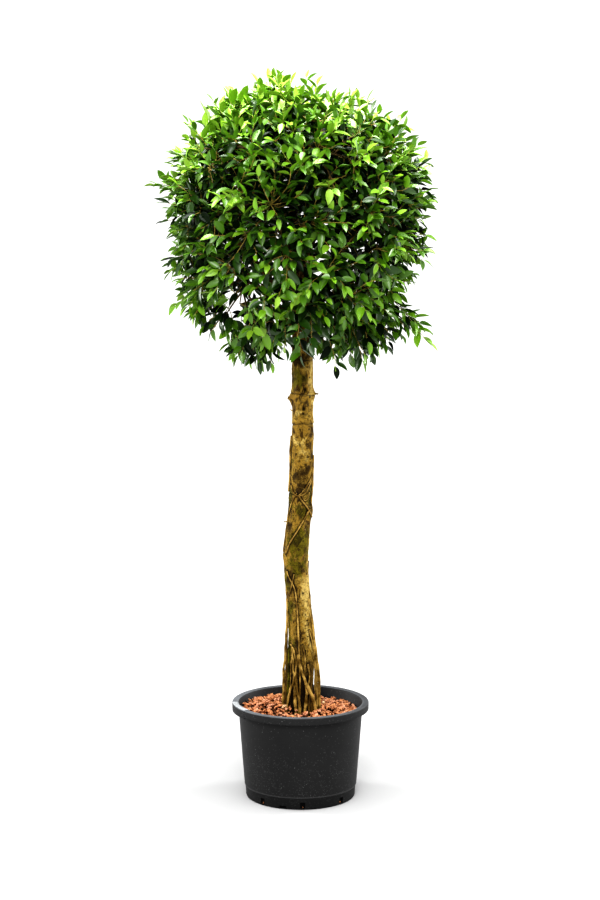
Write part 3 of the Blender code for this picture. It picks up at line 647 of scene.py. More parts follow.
# ------------------------------------------------------------------ materials
def gate_recess_shade(x, y, height):
    """1 in the shallow mark that the mould's gate left beside the front drain slot, the recess
    that is painted nearly black as painted shade.
    """
    turn = math.radians(GATE_ANGLE)
    width, tall = GATE_SIZE
    ahead = x * math.sin(turn) - y * math.cos(turn)
    aside = abs(x * math.cos(turn) + y * math.sin(turn))
    mark = ahead.between(0.05, 0.06) * (1.0 - aside.between(width * 0.5 - 0.001, width * 0.5))
    mark = mark * height.between(GATE_LIFT - 0.001, GATE_LIFT)
    return mark * (1.0 - height.between(GATE_LIFT + tall, GATE_LIFT + tall + 0.001))


def pot_plastic(settings):
    """Matt black plastic with pale specks, a rim top lighter from wear and painted sheen, painted
    highlights at its inner edge, its left and above its foot, painted shade on its foot and in the
    gate mark, and a bare pale place on its lug.
    """
    paint = Paint("black_pot_plastic")
    place = paint.place()
    x, y, height = (paint.axis(place, name) for name in "XYZ")
    top = POT_HIGH[2]
    cloud = paint.noise(place, 5.0, 4.0)
    grain = paint.noise(place, 420.0, 2.0)
    sizes = paint.noise(place, 33.0, 1.0)
    dust = paint.cells(place, 95.0) < sizes.between(0.50, 0.78) * 0.17
    low = 1.0 - height.between(0.10, 0.30)
    skirt = height.between(top - 0.050, top - 0.045)
    chosen = paint.node("SeparateColor", {}, {0: paint.cells(place, POWDER_SCALE, "Color")})
    powder = chosen < 0.08 + 0.52 * low + 0.14 * skirt
    powder = powder * (paint.cells(place, POWDER_SCALE) < 0.10 + 0.26 * sizes)
    # The rim's top: lighter from wear and from a painted sheen where it faces the light.
    wear_and_sheen = height.between(top - 0.0065, top - 0.0045)
    # Painted highlight: the rim's top is lighter on the left, the side the light comes from.
    left = 1.0 - x.between(-0.27, -0.12)
    reach = (x * x + y * y) ** 0.5
    # Painted highlight along the rim's inner edge, fading out towards the back.
    lip_highlight = wear_and_sheen * (1.0 - reach.between(MOUTH_RADIUS + 0.004, MOUTH_RADIUS + 0.010))
    lip_highlight = lip_highlight * (1.0 - 0.85 * y.between(-0.16, 0.02))
    bare = height.between(top - 0.0022, top - 0.0012)
    # Painted shade: the foot band below the step is darkened nearly to black.
    foot = 1.0 - height.between(FOOT_HEIGHT - 0.010, FOOT_HEIGHT + 0.002)
    # Painted highlight: a faint pale line, in the dust colour, along the step above the foot.
    ledge_highlight = height.between(FOOT_HEIGHT - 0.001, FOOT_HEIGHT)
    ledge_highlight = ledge_highlight * (1.0 - height.between(FOOT_HEIGHT + 0.003, FOOT_HEIGHT + 0.006))
    colour = paint.layered(
        paint.mix(cloud.between(0.35, 0.75), settings.plastic, (0.020, 0.020, 0.020)),
        (powder * 0.36, settings.dust),
        (dust * 0.75, settings.dust),
        (wear_and_sheen * (0.25 + 0.75 * cloud.between(0.3, 0.7)), settings.rim),
        (wear_and_sheen * left * 0.28, settings.lip_highlight),
        (lip_highlight * 0.8, settings.lip_highlight),
        (bare * 0.92, settings.bare),
        (foot * 0.45, (0.002, 0.002, 0.002)),
        (ledge_highlight * 0.14, settings.dust),
        # Painted shade: the gate mark's recess is painted nearly black.
        (gate_recess_shade(x, y, height) * 0.85, (0.001, 0.001, 0.001)),
    )
    relief = grain * 0.6 + cloud * 0.4
    return paint.finished(colour, 0.48 + 0.14 * cloud + 0.06 * grain, 0.16, relief, 0.22, 0.0006)


def dark_soil():
    """Potting mix, painted nearly black as painted shade low down, where it shows through the
    drain slots.
    """
    paint = Paint("dark_potting_soil")
    place = paint.place()
    cloud = paint.noise(place, 60.0, 4.0)
    soil = paint.mix(cloud.between(0.3, 0.7), (0.010, 0.006, 0.004), (0.035, 0.021, 0.012))
    above_slots = paint.axis(place, "Z").between(0.05, 0.08)
    # Painted shade: low in the pot, where the slots show it, the soil is nearly black.
    colour = paint.mix(above_slots, (0.0008, 0.0006, 0.0005), soil)
    return paint.finished(colour, 0.95, 0.2, paint.cells(place, 260.0), 0.8, 0.002)


def lava_stone(name, colour, dark):
    """Lava: a chip's own colour, mottled darker, with fine pores."""
    paint = Paint(name)
    place = paint.place()
    mottle = paint.noise(place, 160.0)
    pores = paint.noise(place, 700.0, 2.0)
    shade = paint.mix(mottle.between(0.36, 0.62), dark, colour)
    return paint.finished(shade, 0.9, 0.25, pores * 0.7 + mottle, 0.5, 0.0012)


def fig_bark(settings):
    """Golden-tan bark with olive moss, dark stains and pale rubbed places, with painted shade in
    its cracks, hollows, below the crown and on its foot, and painted highlights on the ridges
    beside its cracks.
    """
    paint = Paint("fig_bark")
    place = paint.place()
    moss, stain_and_shade, pale, hollow_shade = (paint.attribute(name) for name in BARK_VALUES)
    tall = paint.drawn(place, 0.55)
    broad = paint.noise(place, 20.0, 4.0, 0.58, 0.5)
    mottle = paint.noise(tall, 44.0, 3.0, 0.55, 1.0)
    fine = paint.noise(tall, 170.0, 4.0, 0.6, 0.3)
    folds = paint.noise(paint.drawn(place, 1.4), 30.0, 1.0, 0.5, 2.2)
    # Fine cracks with painted shade in them, and beside each a ridge with a painted highlight.
    crack_shade = 1.0 - abs(folds - 0.5).between(0.004, 0.024)
    ridge_highlight = 1.0 - abs(folds - 0.535).between(0.0, 0.024)
    edge = broad * 0.9 + mottle * 0.7 + fine * 0.35 - 0.975
    growth = paint.mix(mottle.between(0.42, 0.60), settings.moss, settings.moss_light)
    colour = paint.layered(
        paint.mix(mottle.between(0.37, 0.53), settings.bark_shadow, settings.bark),
        (broad.between(0.46, 0.66) * 0.8, settings.bark_light),
        ((pale + edge * 1.5).between(0.35, 0.80) * 0.85, settings.buff),
        (ridge_highlight * 0.30, settings.buff),
        (crack_shade * broad.between(0.40, 0.55) * 0.7, settings.stain_and_shade),
        ((moss + edge * 1.7).between(0.25, 0.70) * 0.88, growth),
        # Stains, with the painted shade below the crown and on the foot that is laid in with them.
        ((stain_and_shade + edge * 2.2).between(0.15, 0.75) * 0.92, settings.stain_and_shade),
        (fine.between(0.66, 0.70) * broad.between(0.44, 0.56) * 0.8, (0.016, 0.008, 0.002)),
        # Painted shade, nearly black, in creases, eyes and pores, beside the clinging roots and on
        # the foot.
        (hollow_shade.clamped(), (0.006, 0.003, 0.001)),
    )
    relief = mottle * 0.7 + fine * 0.5 + ridge_highlight * 0.2 - crack_shade * 0.35
    return paint.finished(colour, 0.60 + 0.25 * fine, 0.1, relief, 0.9, 0.005)


def root_skin(name, pale, dark, shadow):
    """The smoother skin of the aerial roots."""
    paint = Paint(name)
    place = paint.place()
    cloud = paint.noise(place, 26.0)
    fine = paint.noise(paint.drawn(place, 0.3), 240.0)
    colour = paint.mix(cloud.between(0.38, 0.66), dark, pale)
    colour = paint.mix(fine.between(0.56, 0.70) * 0.5, colour, shadow)
    return paint.finished(colour, 0.7, 0.1, fine + cloud, 0.5, 0.002)


# ------------------------------------------------------------------ pot and filling
def inner_radius(z):
    low, high = WALL_FOOT_RADIUS - WALL, WALL_TOP_RADIUS - WALL
    return low + (high - low) * (z - FOOT_HEIGHT) / (POT_HIGH[2] - RIM_DROP - FOOT_HEIGHT)


def foot_radius(z):
    return inner_radius(z) + WALL - FOOT_INSET


def turned(profile):
    """A profile of radius and height spun right round the axis, closed at its seam and poles."""
    bm = bmesh.new()
    verts = [bm.verts.new((0.0, -radius, z)) for radius, z in profile]
    edges = [bm.edges.new(pair) for pair in zip(verts, verts[1:])]
    bmesh.ops.spin(
        bm, geom=verts + edges, cent=(0, 0, 0), axis=(0, 0, 1), dvec=(0, 0, 0),
        angle=math.tau, steps=POT_STEPS, use_merge=True, use_duplicate=False,
    )
    bmesh.ops.remove_doubles(bm, verts=bm.verts[:], dist=0.00001)
    return bm


def rounded(profile, corners):
    """The profile with some of its corners, given as number: radius, turned into arcs."""
    points = []
    for number, place in enumerate(profile):
        if number not in corners:
            points.append(place)
            continue
        here, radius = Vector(place), corners[number]
        before, after = (
            here + (Vector(profile[beside]) - here).normalized() * radius
            for beside in (number - 1, number + 1)
        )
        points += [tuple(point) for point in bowed(before, here, after, ARC_STEPS)]
    return points


def block(angle, inner, outer, width, bottom, height):
    """A box through the pot's wall at an angle, as a cutter's edit mesh."""
    bm = bmesh.new()
    bmesh.ops.create_cube(bm, size=1.0)
    bmesh.ops.scale(bm, vec=(width, outer - inner, height), verts=bm.verts[:])
    middle = (0.0, -(inner + outer) / 2, bottom + height / 2)
    bmesh.ops.translate(bm, vec=middle, verts=bm.verts[:])
    bmesh.ops.rotate(bm, verts=bm.verts[:], matrix=Matrix.Rotation(math.radians(angle), 3, "Z"))
    return bm


def combined(mesh, cutters, operation):
    """The mesh after one Boolean with the closed edit meshes."""
    holder = bpy.data.objects.new("work", mesh)
    bpy.context.scene.collection.objects.link(holder)
    group = bpy.data.collections.new("cutters")
    bpy.context.scene.collection.children.link(group)
    for cutter in cutters:
        group.objects.link(bpy.data.objects.new("cutter", mesh_of(cutter, "cutter")))
    boolean = holder.modifiers.new("boolean", "BOOLEAN")
    boolean.operand_type, boolean.collection = "COLLECTION", group
    boolean.operation, boolean.solver = operation, "EXACT"
    bpy.context.view_layer.update()
    depsgraph = bpy.context.evaluated_depsgraph_get()
    result = bpy.data.meshes.new_from_object(holder.evaluated_get(depsgraph))
    for obj in [*group.objects, holder]:
        bpy.data.objects.remove(obj, do_unlink=True)
    bpy.data.collections.remove(group)
    return result


def rim_lug():
    """The thick, flat-topped stretch of the rim: a cube drawn out and bent round it."""
    bm = bmesh.new()
    bmesh.ops.create_cube(bm, size=1.0)
    ends = [edge for edge in bm.edges if abs(edge.verts[0].co.x - edge.verts[1].co.x) > 0.5]
    bmesh.ops.subdivide_edges(bm, edges=ends, cuts=LUG_CUTS, use_grid_fill=True)
    top, outer = POT_HIGH[2], POT_HIGH[0]
    bottom = top - RIM_DROP - 2 * LUG_PROUD
    first, last = LUG_SPAN
    for vert in bm.verts:
        x, y, z = vert.co
        angle = math.radians(first + (last - first) * (x + 0.5))
        near = MOUTH_RADIUS + 2 * LUG_PROUD if z > 0 else outer - LUG_PROUD - 2 * SKIRT
        vert.co = polar(angle, outer if y < 0 else near, top if z > 0 else bottom)
    bmesh.ops.bevel(
        bm, geom=[edge for edge in bm.edges if edge.calc_face_angle(0) > 0.6],
        offset=LUG_BEVEL, segments=2, profile=0.5, affect="EDGES", material=-1,
    )
    return bm


def make_pot(settings):
    """The pot's turned shell with its cut slots and gate mark, and its rim's lug joined on."""
    top = POT_HIGH[2] - LUG_PROUD
    under = top - SKIRT
    skirt_radius = RIM_RADIUS - SKIRT
    profile = [
        (0.0, WALL),
        (inner_radius(WALL), WALL),
        (inner_radius(under), under - 0.004),
        (MOUTH_RADIUS + 0.004, top),
        (RIM_RADIUS, top),
        (RIM_RADIUS - 0.0005, top - RIM_DROP),
        (skirt_radius, top - RIM_DROP),
        (skirt_radius, under),
        (inner_radius(under) + WALL, under),
        (WALL_FOOT_RADIUS, FOOT_HEIGHT),
        (foot_radius(FOOT_HEIGHT), FOOT_HEIGHT - FOOT_INSET),
        (foot_radius(0.0), 0.0),
        (0.0, 0.0),
    ]
    corners = {
        1: 0.006, 3: 0.0035, 4: 0.0042, 5: 0.0010, 8: 0.004, 9: 0.0022, 10: 0.0022,
        11: FOOT_CORNER,
    }
    shell = mesh_of(turned(rounded(profile, corners)), "pot_shell")
    from_radius, to_radius = inner_radius(0.0) - WALL, WALL_FOOT_RADIUS + WALL
    cutters = [
        block(angle, from_radius, to_radius, DRAIN_SLOT_WIDTH, WALL, DRAIN_SLOT_HEIGHT)
        for angle in SLOT_ANGLES
    ]
    width, tall = GATE_SIZE
    gate_floor = foot_radius(0.0) - GATE_DEPTH
    cutters.append(block(GATE_ANGLE, gate_floor, to_radius, width, GATE_LIFT, tall))
    shell = combined(shell, cutters, "DIFFERENCE")
    shell = combined(shell, [rim_lug()], "UNION")
    material = pot_plastic(settings)
    add_piece("pot_shell", shell, "pot_plastic", "pot", materials=[material], shade_angle=32.0)
    frame["nodes"]["potting_soil"].material_slots[0].material = dark_soil()


def chip_shapes(chance):
    """Angular stone chips: small spheres pushed out of round and flattened."""
    shapes = []
    for _ in range(CHIP_KINDS):
        bm = bmesh.new()
        bmesh.ops.create_icosphere(bm, subdivisions=1, radius=0.5)
        for vert in bm.verts:
            vert.co *= chance.uniform(0.80, 1.15)
        bmesh.ops.scale(bm, vec=CHIP_SQUASH, verts=bm.verts[:])
        shapes.append(template(bm))
    return shapes


def lying_turn(chance):
    """Three columns of a turn that leaves a chip nearly flat."""
    up = Vector((chance.gauss(0.0, CHIP_TILT), chance.gauss(0.0, CHIP_TILT), 1.0)).normalized()
    yaw = chance.uniform(0.0, math.tau)
    first = up.cross(Vector((math.cos(yaw), math.sin(yaw), 0.0))).normalized()
    return first, up.cross(first), up


def any_turn(chance):
    """Three columns of a turn in any direction."""
    first, other = (Vector([chance.gauss(0, 1) for _ in "xyz"]).normalized() for _ in range(2))
    second = first.cross(other).normalized()
    return first, second, first.cross(second)


def scatter_chips(batch, shapes, count, chance):
    """Chips in a spiral over the soil, mounded at the trunk and heaped on one side of it."""
    wall, near = inner_radius(SOIL_TOP), TRUNK_FOOT_RADIUS * 0.75
    for number in range(count):
        share = number / count
        angle = number * GOLDEN_ANGLE
        reach = math.sqrt(chance.random())
        place = trunk_axis(SOIL_TOP) * (1 - reach)
        place += polar(angle, near + (wall - CHIP_CLEARANCE - near) * reach)
        behind = max(0.0, math.cos(angle - math.radians(HEAP_ANGLE)))
        heap = (MULCH_HEAP + HEAP_RISE * (1.0 - reach)) * behind
        mound = heap + MULCH_MOUND * (1.0 - reach) ** 1.5
        bumps = 0.004 * noise.noise(Vector((place.x, place.y, 0.3)) * 28.0)
        size = chance.uniform(*CHIP_SIZES)
        edge = wall - size * 0.42
        if math.hypot(place.x, place.y) > edge:
            place = place.normalized() * edge
        place.z = SOIL_TOP + 0.002 + (MULCH_DEPTH + mound + bumps) * min(1.0, share * 1.25)
        # Chips laid first: the dark tone, as painted shade in the gaps.
        tone = BURIED_SHADE_TONE
        if share >= BURIED_SHARE:
            tone = chance.choices(range(len(TONE_SHARES)), TONE_SHARES)[0]
        batch.place(shapes[number % CHIP_KINDS], place, lying_turn(chance), size, tone)


def make_mulch(settings):
    """The lava chips over the soil, and the few grains that show in the drain slots."""
    chance = random.Random(5)
    shapes = chip_shapes(chance)
    tones = [
        lava_stone("lava_terracotta", settings.chip, (0.20, 0.070, 0.030)),
        lava_stone("lava_rust_and_gap_shade", settings.dark_chip_and_gap_shade, (0.07, 0.022, 0.010)),
        lava_stone("lava_pink", (0.66, 0.36, 0.22), (0.36, 0.14, 0.07)),
        lava_stone("lava_cream", (0.66, 0.48, 0.30), (0.40, 0.24, 0.12)),
    ]
    batch = Batch()
    scatter_chips(batch, shapes, settings.chips, chance)
    for angle in SLOT_ANGLES:
        for shape in shapes[:GRAINS_IN_SLOT]:
            turn = math.radians(angle) + chance.uniform(-0.018, 0.018)
            spot = polar(turn, foot_radius(0.0) - 0.004)
            spot.z = WALL + chance.uniform(0.002, 0.007)
            batch.place(shape, spot, any_turn(chance), chance.uniform(0.006, 0.009))
    mesh = batch.mesh("lava_chips")
    mesh.shade_flat()
    add_piece("lava_chips", mesh, "lava_chips", "lava_mulch", materials=tones)


# ------------------------------------------------------------------ trunk
def trunk_axis(z):
    share = (z - SOIL_TOP) / (FORK_HEIGHT - SOIL_TOP)
    bow = TRUNK_BOW * bell(z - BOW_HEIGHT, BOW_SPREAD)
    depth = 0.5 * TRUNK_BOW * math.sin(math.pi * clamped(share))
    return Vector((TRUNK_FOOT_X + TRUNK_LEAN * share - bow, depth, z))


def trunk_radius(angle, z):
    share = (z - SOIL_TOP) / (FORK_HEIGHT - SOIL_TOP)
    taper = TRUNK_FOOT_RADIUS + (TRUNK_FORK_RADIUS - TRUNK_FOOT_RADIUS) * share
    waist = WAIST / (1.0 + math.exp((z - WAIST_HEIGHT) / WAIST_SOFTNESS))
    knots = 0.0
    for height, turn, proud in KNOTS:
        apart = around(angle, turn) * taper
        knots += proud * math.exp(-(((z - height) ** 2 + apart**2) / KNOT_SPREAD**2))
    ripple = math.sin(2 * angle + 9.0 * z) + math.sin(3 * angle - 14.0 * z)
    return taper - waist + knots + RIPPLE * ripple


def on_trunk(z, angle, proud=0.0):
    """A place on the smooth trunk, or as far out of it as it says."""
    return trunk_axis(z) + polar(angle, trunk_radius(angle, z) + proud)


def bark_relief(angle, z):
    """How far the bark stands out of the smooth trunk, and how strongly painted shade darkens it
    in its creases, eyes and pores.
    """
    place = polar(angle, 1.0)
    waves = [
        noise.noise(Vector((place.x * spread, place.y * spread, z * rise + shift)))
        for spread, rise, shift, _ in BARK_WAVES
    ]
    broad = waves[0]
    relief = sum(size * wave for wave, (*_, size) in zip(waves, BARK_WAVES))
    above = z - SOIL_TOP
    flutes = math.sin(FLUTES * angle + 1.3 + 4.0 * above)
    relief += bell(above, FLUTED_HEIGHT) * FLUTE_DEPTH * flutes * (1 + 0.5 * broad)
    hollow_shade = 0.0
    for height, depth in CREASES:
        away = z - (height + 0.006 * math.sin(angle + height * 9.0) + 0.003 * broad)
        relief -= depth * bell(away, 0.0030)
        relief += 0.6 * depth * bell(away - 0.009, 0.006)
        hollow_shade = max(hollow_shade, 0.8 * bell(away, 0.0028))
    for height, turn, size in EYES:
        away = math.hypot(around(angle, turn) * BARK_GIRTH, (z - height) * 0.8) / size
        if away < 3.0:
            relief += 0.0028 * bell(away - 1.15, 0.45)
            relief -= 0.0060 * bell(away, 0.62)
            hollow_shade = max(hollow_shade, bell(away, 0.72, 4), 0.45 * bell(away - 1.9, 0.25))
    for height, turn in PORES:
        away = math.hypot(around(angle, turn) * BARK_GIRTH * 0.7, z - height) / PORE_SIZE
        if away < 3.0:
            relief -= 0.0022 * bell(away, 1.0)
            hollow_shade = max(hollow_shade, bell(away, 0.9, 4))
    return relief, hollow_shade


def patches(features, angle, z):
    """The strongest of the patches at a place on the bark, with their outlines drawn crooked."""
    strongest = 0.0
    place = polar(angle, 1.3, z * 16.0)
    angle += 0.42 * noise.noise(place * 1.6)
    z += 0.016 * noise.noise(place * 1.3 + Vector((5.0, 0.0, 0.0)))
    for height, turn, half_height, half_width, strength in features:
        if abs(z - height) < 2.5 * half_height:
            apart = around(angle, turn) / math.radians(half_width)
            rise = (z - height) / half_height
            strongest = max(strongest, strength * math.exp(-(apart * apart + rise * rise)))
    return strongest


def keep_values(mesh, *values):
    """Numbers on the mesh's points that its material reads by name."""
    for name, numbers in zip(BARK_VALUES, values):
        layer = mesh.attributes.new(name, "FLOAT", "POINT")
        layer.data.foreach_set("value", np.asarray(numbers, dtype=np.float32))


def shade_beside_roots(angles, heights):
    """How strongly painted shade darkens the bark next to the roots that cling to it, at each of
    its points.
    """
    shade = np.zeros(len(heights))
    girth = TRUNK_FOOT_RADIUS * 0.9
    for radius, *marks in CLINGING_ROOTS:
        marks = [Vector((math.radians(turn) * girth, z, 0.0)) for z, turn in marks]
        nearest = np.full(len(heights), 1.0)
        for point in spline(marks, CLING_STEPS):
            apart = np.remainder(angles * girth - point.x + math.pi * girth, math.tau * girth)
            away = np.hypot(apart - math.pi * girth, heights - point.y)
            nearest = np.minimum(nearest, away)
        shade = np.maximum(shade, 0.9 * np.exp(-((nearest / (radius * 2.3)) ** 4)))
    return shade


def trunk_shape():
    """The trunk's skin, wrapped round its axis from a fine grid, with its shoulder closed."""
    bm = bmesh.new()
    bmesh.ops.create_grid(bm, x_segments=TRUNK_SIDES, y_segments=TRUNK_RINGS, size=0.5)
    low, high = SOIL_TOP + SOIL_CLEARANCE, FORK_HEIGHT
    values = {}
    for vert in bm.verts:
        angle = math.tau * (vert.co.x + 0.5)
        z = low + (high - low) * (vert.co.y + 0.5)
        relief, hollow_shade = bark_relief(angle % math.tau, z)
        radius = trunk_radius(angle, z) + relief
        shoulder = max(0.0, (z - (high - SHOULDER)) / SHOULDER)
        radius *= math.sqrt(max(0.0, 1.0 - 0.72 * shoulder**2))
        vert.co = trunk_axis(z) + polar(angle, radius)
        values[vert] = (math.remainder(angle, math.tau), z, hollow_shade)
    bmesh.ops.remove_doubles(bm, verts=bm.verts[:], dist=0.000005)
    bmesh.ops.holes_fill(bm, edges=[edge for edge in bm.edges if edge.is_boundary], sides=0)
    kept = np.array([values[vert] for vert in bm.verts])
    return mesh_of(bm, "trunk_bark"), kept.T


def make_bark(bark):
    """The trunk's skin with the moss, stains and pale places that its bark shows, and painted
    shade in its hollows, beside its clinging roots, below the crown and on its foot.
    """
    mesh, (angles, heights, hollow_shade) = trunk_shape()
    edge = np.array([0.25 * noise.noise(vert.co * 42.0) for vert in mesh.vertices])
    places = list(zip(angles, heights))
    moss, stain_and_shade, pale = (
        np.array([patches(features, angle, z) for angle, z in places])
        for features in (MOSS, STAINS, PALE)
    )
    # Painted shade on the foot behind the aerial roots: a dark stain near the soil, and near-black
    # below a ragged height; with it, the painted shade in creases, eyes and pores and beside the
    # clinging roots.
    stain_and_shade += FOOT_SHADE * np.exp(-(((heights - SOIL_TOP) / FOOT_SHADE_HEIGHT) ** 4))
    depth = np.clip((FOOT_SHADE_TOP - heights + 0.22 * edge) / FOOT_SHADE_FADE, 0.0, 1.0)
    hollow_shade = np.maximum.reduce([hollow_shade, shade_beside_roots(angles, heights), 0.77 * smooth(depth)])
    keep_values(
        mesh, np.clip(moss + edge, 0, 1), np.clip(stain_and_shade + edge, 0, 1),
        np.clip(pale - edge, 0, 1.2), hollow_shade,
    )
    add_piece("trunk_bark", mesh, "bark", "trunk", materials=[bark], shade_angle=70.0)


def aerial_root_line(top, angle_top, angle_foot, foot_distance, chance):
    """From inside the trunk's skin out and down to the soil, swaying on its way."""
    skin_top = trunk_radius(math.radians(angle_top), top) - ROOT_SUNK
    seed = chance.uniform(0.0, 90.0)
    points = []
    for step in range(ROOT_STEPS + 1):
        share = step / ROOT_STEPS
        z = top + (SOIL_TOP + SOIL_CLEARANCE - top) * share
        angle = math.radians(angle_top + (angle_foot - angle_top) * smooth(share))
        away = skin_top + (foot_distance - skin_top) * math.sin(share * math.pi / 2)
        sway = noise.noise_vector(Vector((seed, step * 0.27, 0.0)))
        sway.z = 0.0
        sway *= ROOT_SWAY * math.sin(math.pi * share)
        points.append(trunk_axis(z) + polar(angle, away) + sway)
    return points


def root_tube(points, radius, chance, foot=1.1, tip=0.75):
    """A root whose thickness varies along it, from the share at its tip to that at its foot."""
    seed = chance.uniform(0.0, 90.0)
    count = len(points) - 1
    radii = []
    for number in range(count + 1):
        swell = 1.0 + 0.40 * noise.noise(Vector((seed, number * 0.45, 2.0)))
        radii.append(radius * (tip + (foot - tip) * number / count) * swell)
    return tube(points, radii, ROOT_SIDES)


def make_roots(settings):
    """The aerial roots, those that cling to the bark, and the stubs of broken twigs."""
    chance = random.Random(11)
    batch = Batch()
    for top, turn, foot, distance, radius in AERIAL_ROOTS + FINE_ROOTS:
        line = aerial_root_line(top, turn, foot, distance, chance)
        skin = chance.choices(range(len(SKIN_SHARES)), SKIN_SHARES)[0]
        if radius > STOUT_ROOT:
            skin = 1 if radius > BROWN_ROOT else 0
        batch.add(root_tube(line, radius, chance), skin)
    for radius, *marks in CLINGING_ROOTS:
        points = [on_trunk(z, math.radians(turn), radius * 0.55) for z, turn in marks]
        batch.add(root_tube(spline(points, CLING_STEPS), radius, chance, foot=0.9, tip=0.8))
    for z, turn, length, radius in STUBS:
        angle = math.radians(turn)
        start = on_trunk(z, angle, -ROOT_SUNK)
        out = (polar(angle, 1.0) + Vector((0, 0, chance.uniform(-0.2, 0.5)))).normalized()
        reach = out * (length + ROOT_SUNK)
        points = [start + reach * step / STUB_STEPS for step in range(STUB_STEPS + 1)]
        radii = [radius * (1.25 - 0.1 * step) for step in range(STUB_STEPS + 1)]
        batch.add(tube(points, radii, ROOT_SIDES))
    dark = settings.bark_shadow
    skins = [
        root_skin("root_tan", settings.root, settings.root_dark, dark),
        root_skin("root_brown", settings.root_dark, dark, dark),
        root_skin("root_mossy", settings.moss_light, settings.moss, dark),
    ]
    add_piece("aerial_roots", batch.mesh("aerial_roots"), "bark", materials=skins)


# ------------------------------------------------------------------ crown
def envelope(way):
    """Distance from the crown's centre to its clipped outline along a unit vector."""
    side = math.hypot(way.x, way.y) / CROWN_HALF_WIDTH
    reach, power = CROWN_RISE, SQUARENESS_ABOVE
    if way.z < 0.0:
        reach, power = CROWN_DROP, SQUARENESS_BELOW
    return (side**power + (abs(way.z) / reach) ** power) ** (-1.0 / power)


def on_crown(way, beyond):
    """The place along a unit vector that lies this far beyond the clipped outline."""
    return CROWN_CENTRE + way * (envelope(way) + beyond)


def dent(way):
    """How far the real outline lies inside the even one along a unit vector."""
    depth = LUMPINESS * noise.noise(way * 3.1)
    for angle, elevation, amount, spread in DENTS:
        depth += amount * bell(math.degrees(way.angle(direction(angle, elevation))), spread)
    return depth


class Limb:
    """A bough and the stem that carries on from it: one curve from a foot to a mass's hub."""

    def __init__(self, foot, hub, radius, sway=Vector()):
        rise = hub - foot
        self.foot, self.hub, self.radius = foot, hub, radius
        self.bend = foot + rise * LIMB_BEND + sway

    def point(self, share):
        near = self.foot.lerp(self.bend, share)
        far = self.bend.lerp(self.hub, share)
        return near.lerp(far, share)

    def radius_at(self, share):
        return self.radius * (1.0 + (LIMB_TIP_SHARE - 1.0) * share)


def leader_point(leader, height):
    """The place on the leader at a height, found by halving."""
    low, high = 0.0, 1.0
    for _ in range(30):
        middle = (low + high) / 2
        if leader.point(middle).z < height:
            low = middle
        else:
            high = middle
    return leader.point(low)


def plan_masses():
    """Each mass's name, direction from the crown's centre and limb, from the tiers."""
    masses, leader = [], None
    for tier, count, elevation, first, foot_height, radius in TIERS:
        for number in range(count):
            name = tier if count == 1 else f"{tier}_{number + 1}"
            way = direction(first + 360.0 / count * number, elevation)
            hub = CROWN_CENTRE + way * envelope(way) * HUB_REACH
            height = foot_height + FOOT_STAGGER * ((number * 3) % count)
            if leader is None:
                limb = leader = Limb(trunk_axis(height), hub, radius, LEADER_SWAY)
            elif foot_height > FORK_HEIGHT:
                limb = Limb(leader_point(leader, height), hub, radius)
            else:
                limb = Limb(trunk_axis(height), hub, radius)
            masses.append((name, way, limb))
    return masses


def spread_ways(count, turn=0.0, bare_below=BARE_BELOW):
    """Unit vectors spread evenly over the crown, with none round the trunk."""
    ways = []
    for step in range(count):
        z = 1.0 - 2.0 * (step + 0.5) / count
        if math.degrees(math.asin(z)) > bare_below:
            level = math.sqrt(1.0 - z * z)
            angle = GOLDEN_ANGLE * step + turn
            ways.append(Vector((level * math.cos(angle), level * math.sin(angle), z)))
    return ways


def inside(way, walls):
    """Whether a direction from the crown's centre stays in a mass's space."""
    return all(way.dot(wall) > 0.0 for wall in walls)


def plan_twigs(limb, way, tips, walls, chance):
    """Lines from the hub to every second tip, and side twigs off the nearest of them."""
    twigs, first_order = [], []
    for number, tip_way in enumerate(sorted(tips, key=lambda tip: -tip.dot(way))):
        tip = on_crown(tip_way, -TIP_DEPTH)
        side = number % 2 == 1 and bool(first_order)
        if side:
            carrier = min(first_order, key=lambda line: (line[-1] - tip).length)
            begin = carrier[int(len(carrier) * chance.uniform(0.25, 0.5))]
        else:
            begin = limb.hub + (tip - limb.hub) * 0.02
        lift = Vector((0, 0, TWIG_LIFT * chance.uniform(0.2, 1.0)))
        line = bowed(begin, begin.lerp(tip, 0.5) + lift, tip, TWIG_STEPS)
        twigs.append(line)
        if not side:
            first_order.append(line)
    for angle, elevation, beyond in SHOOTS:
        shoot = direction(angle, elevation)
        if inside(shoot, walls):
            tip = on_crown(shoot, beyond - SHOOT_TWIG_SHORT)
            twigs.append(bowed(limb.hub, limb.hub.lerp(tip, 0.5), tip, TWIG_STEPS))
    return twigs


def bough_tube(limb, chance):
    """A limb's skin, with a slight sway, an uneven girth and a collar at its foot."""
    seed = chance.uniform(0, 90)
    points, radii = [], []
    for step in range(BOUGH_STEPS + 1):
        share = step / BOUGH_STEPS
        sway = noise.noise_vector(Vector((seed, step * 0.16, 0.0))) * BOUGH_SWAY
        points.append(limb.point(share) + sway * math.sin(math.pi * share))
        swell = 1.0 + 0.12 * noise.noise(Vector((seed, step * 0.5, 5.0)))
        collar = 1.0 + 0.5 * math.exp(-share / 0.06)
        radii.append(limb.radius_at(share) * swell * collar)
    return tube(points, radii, BOUGH_SIDES)


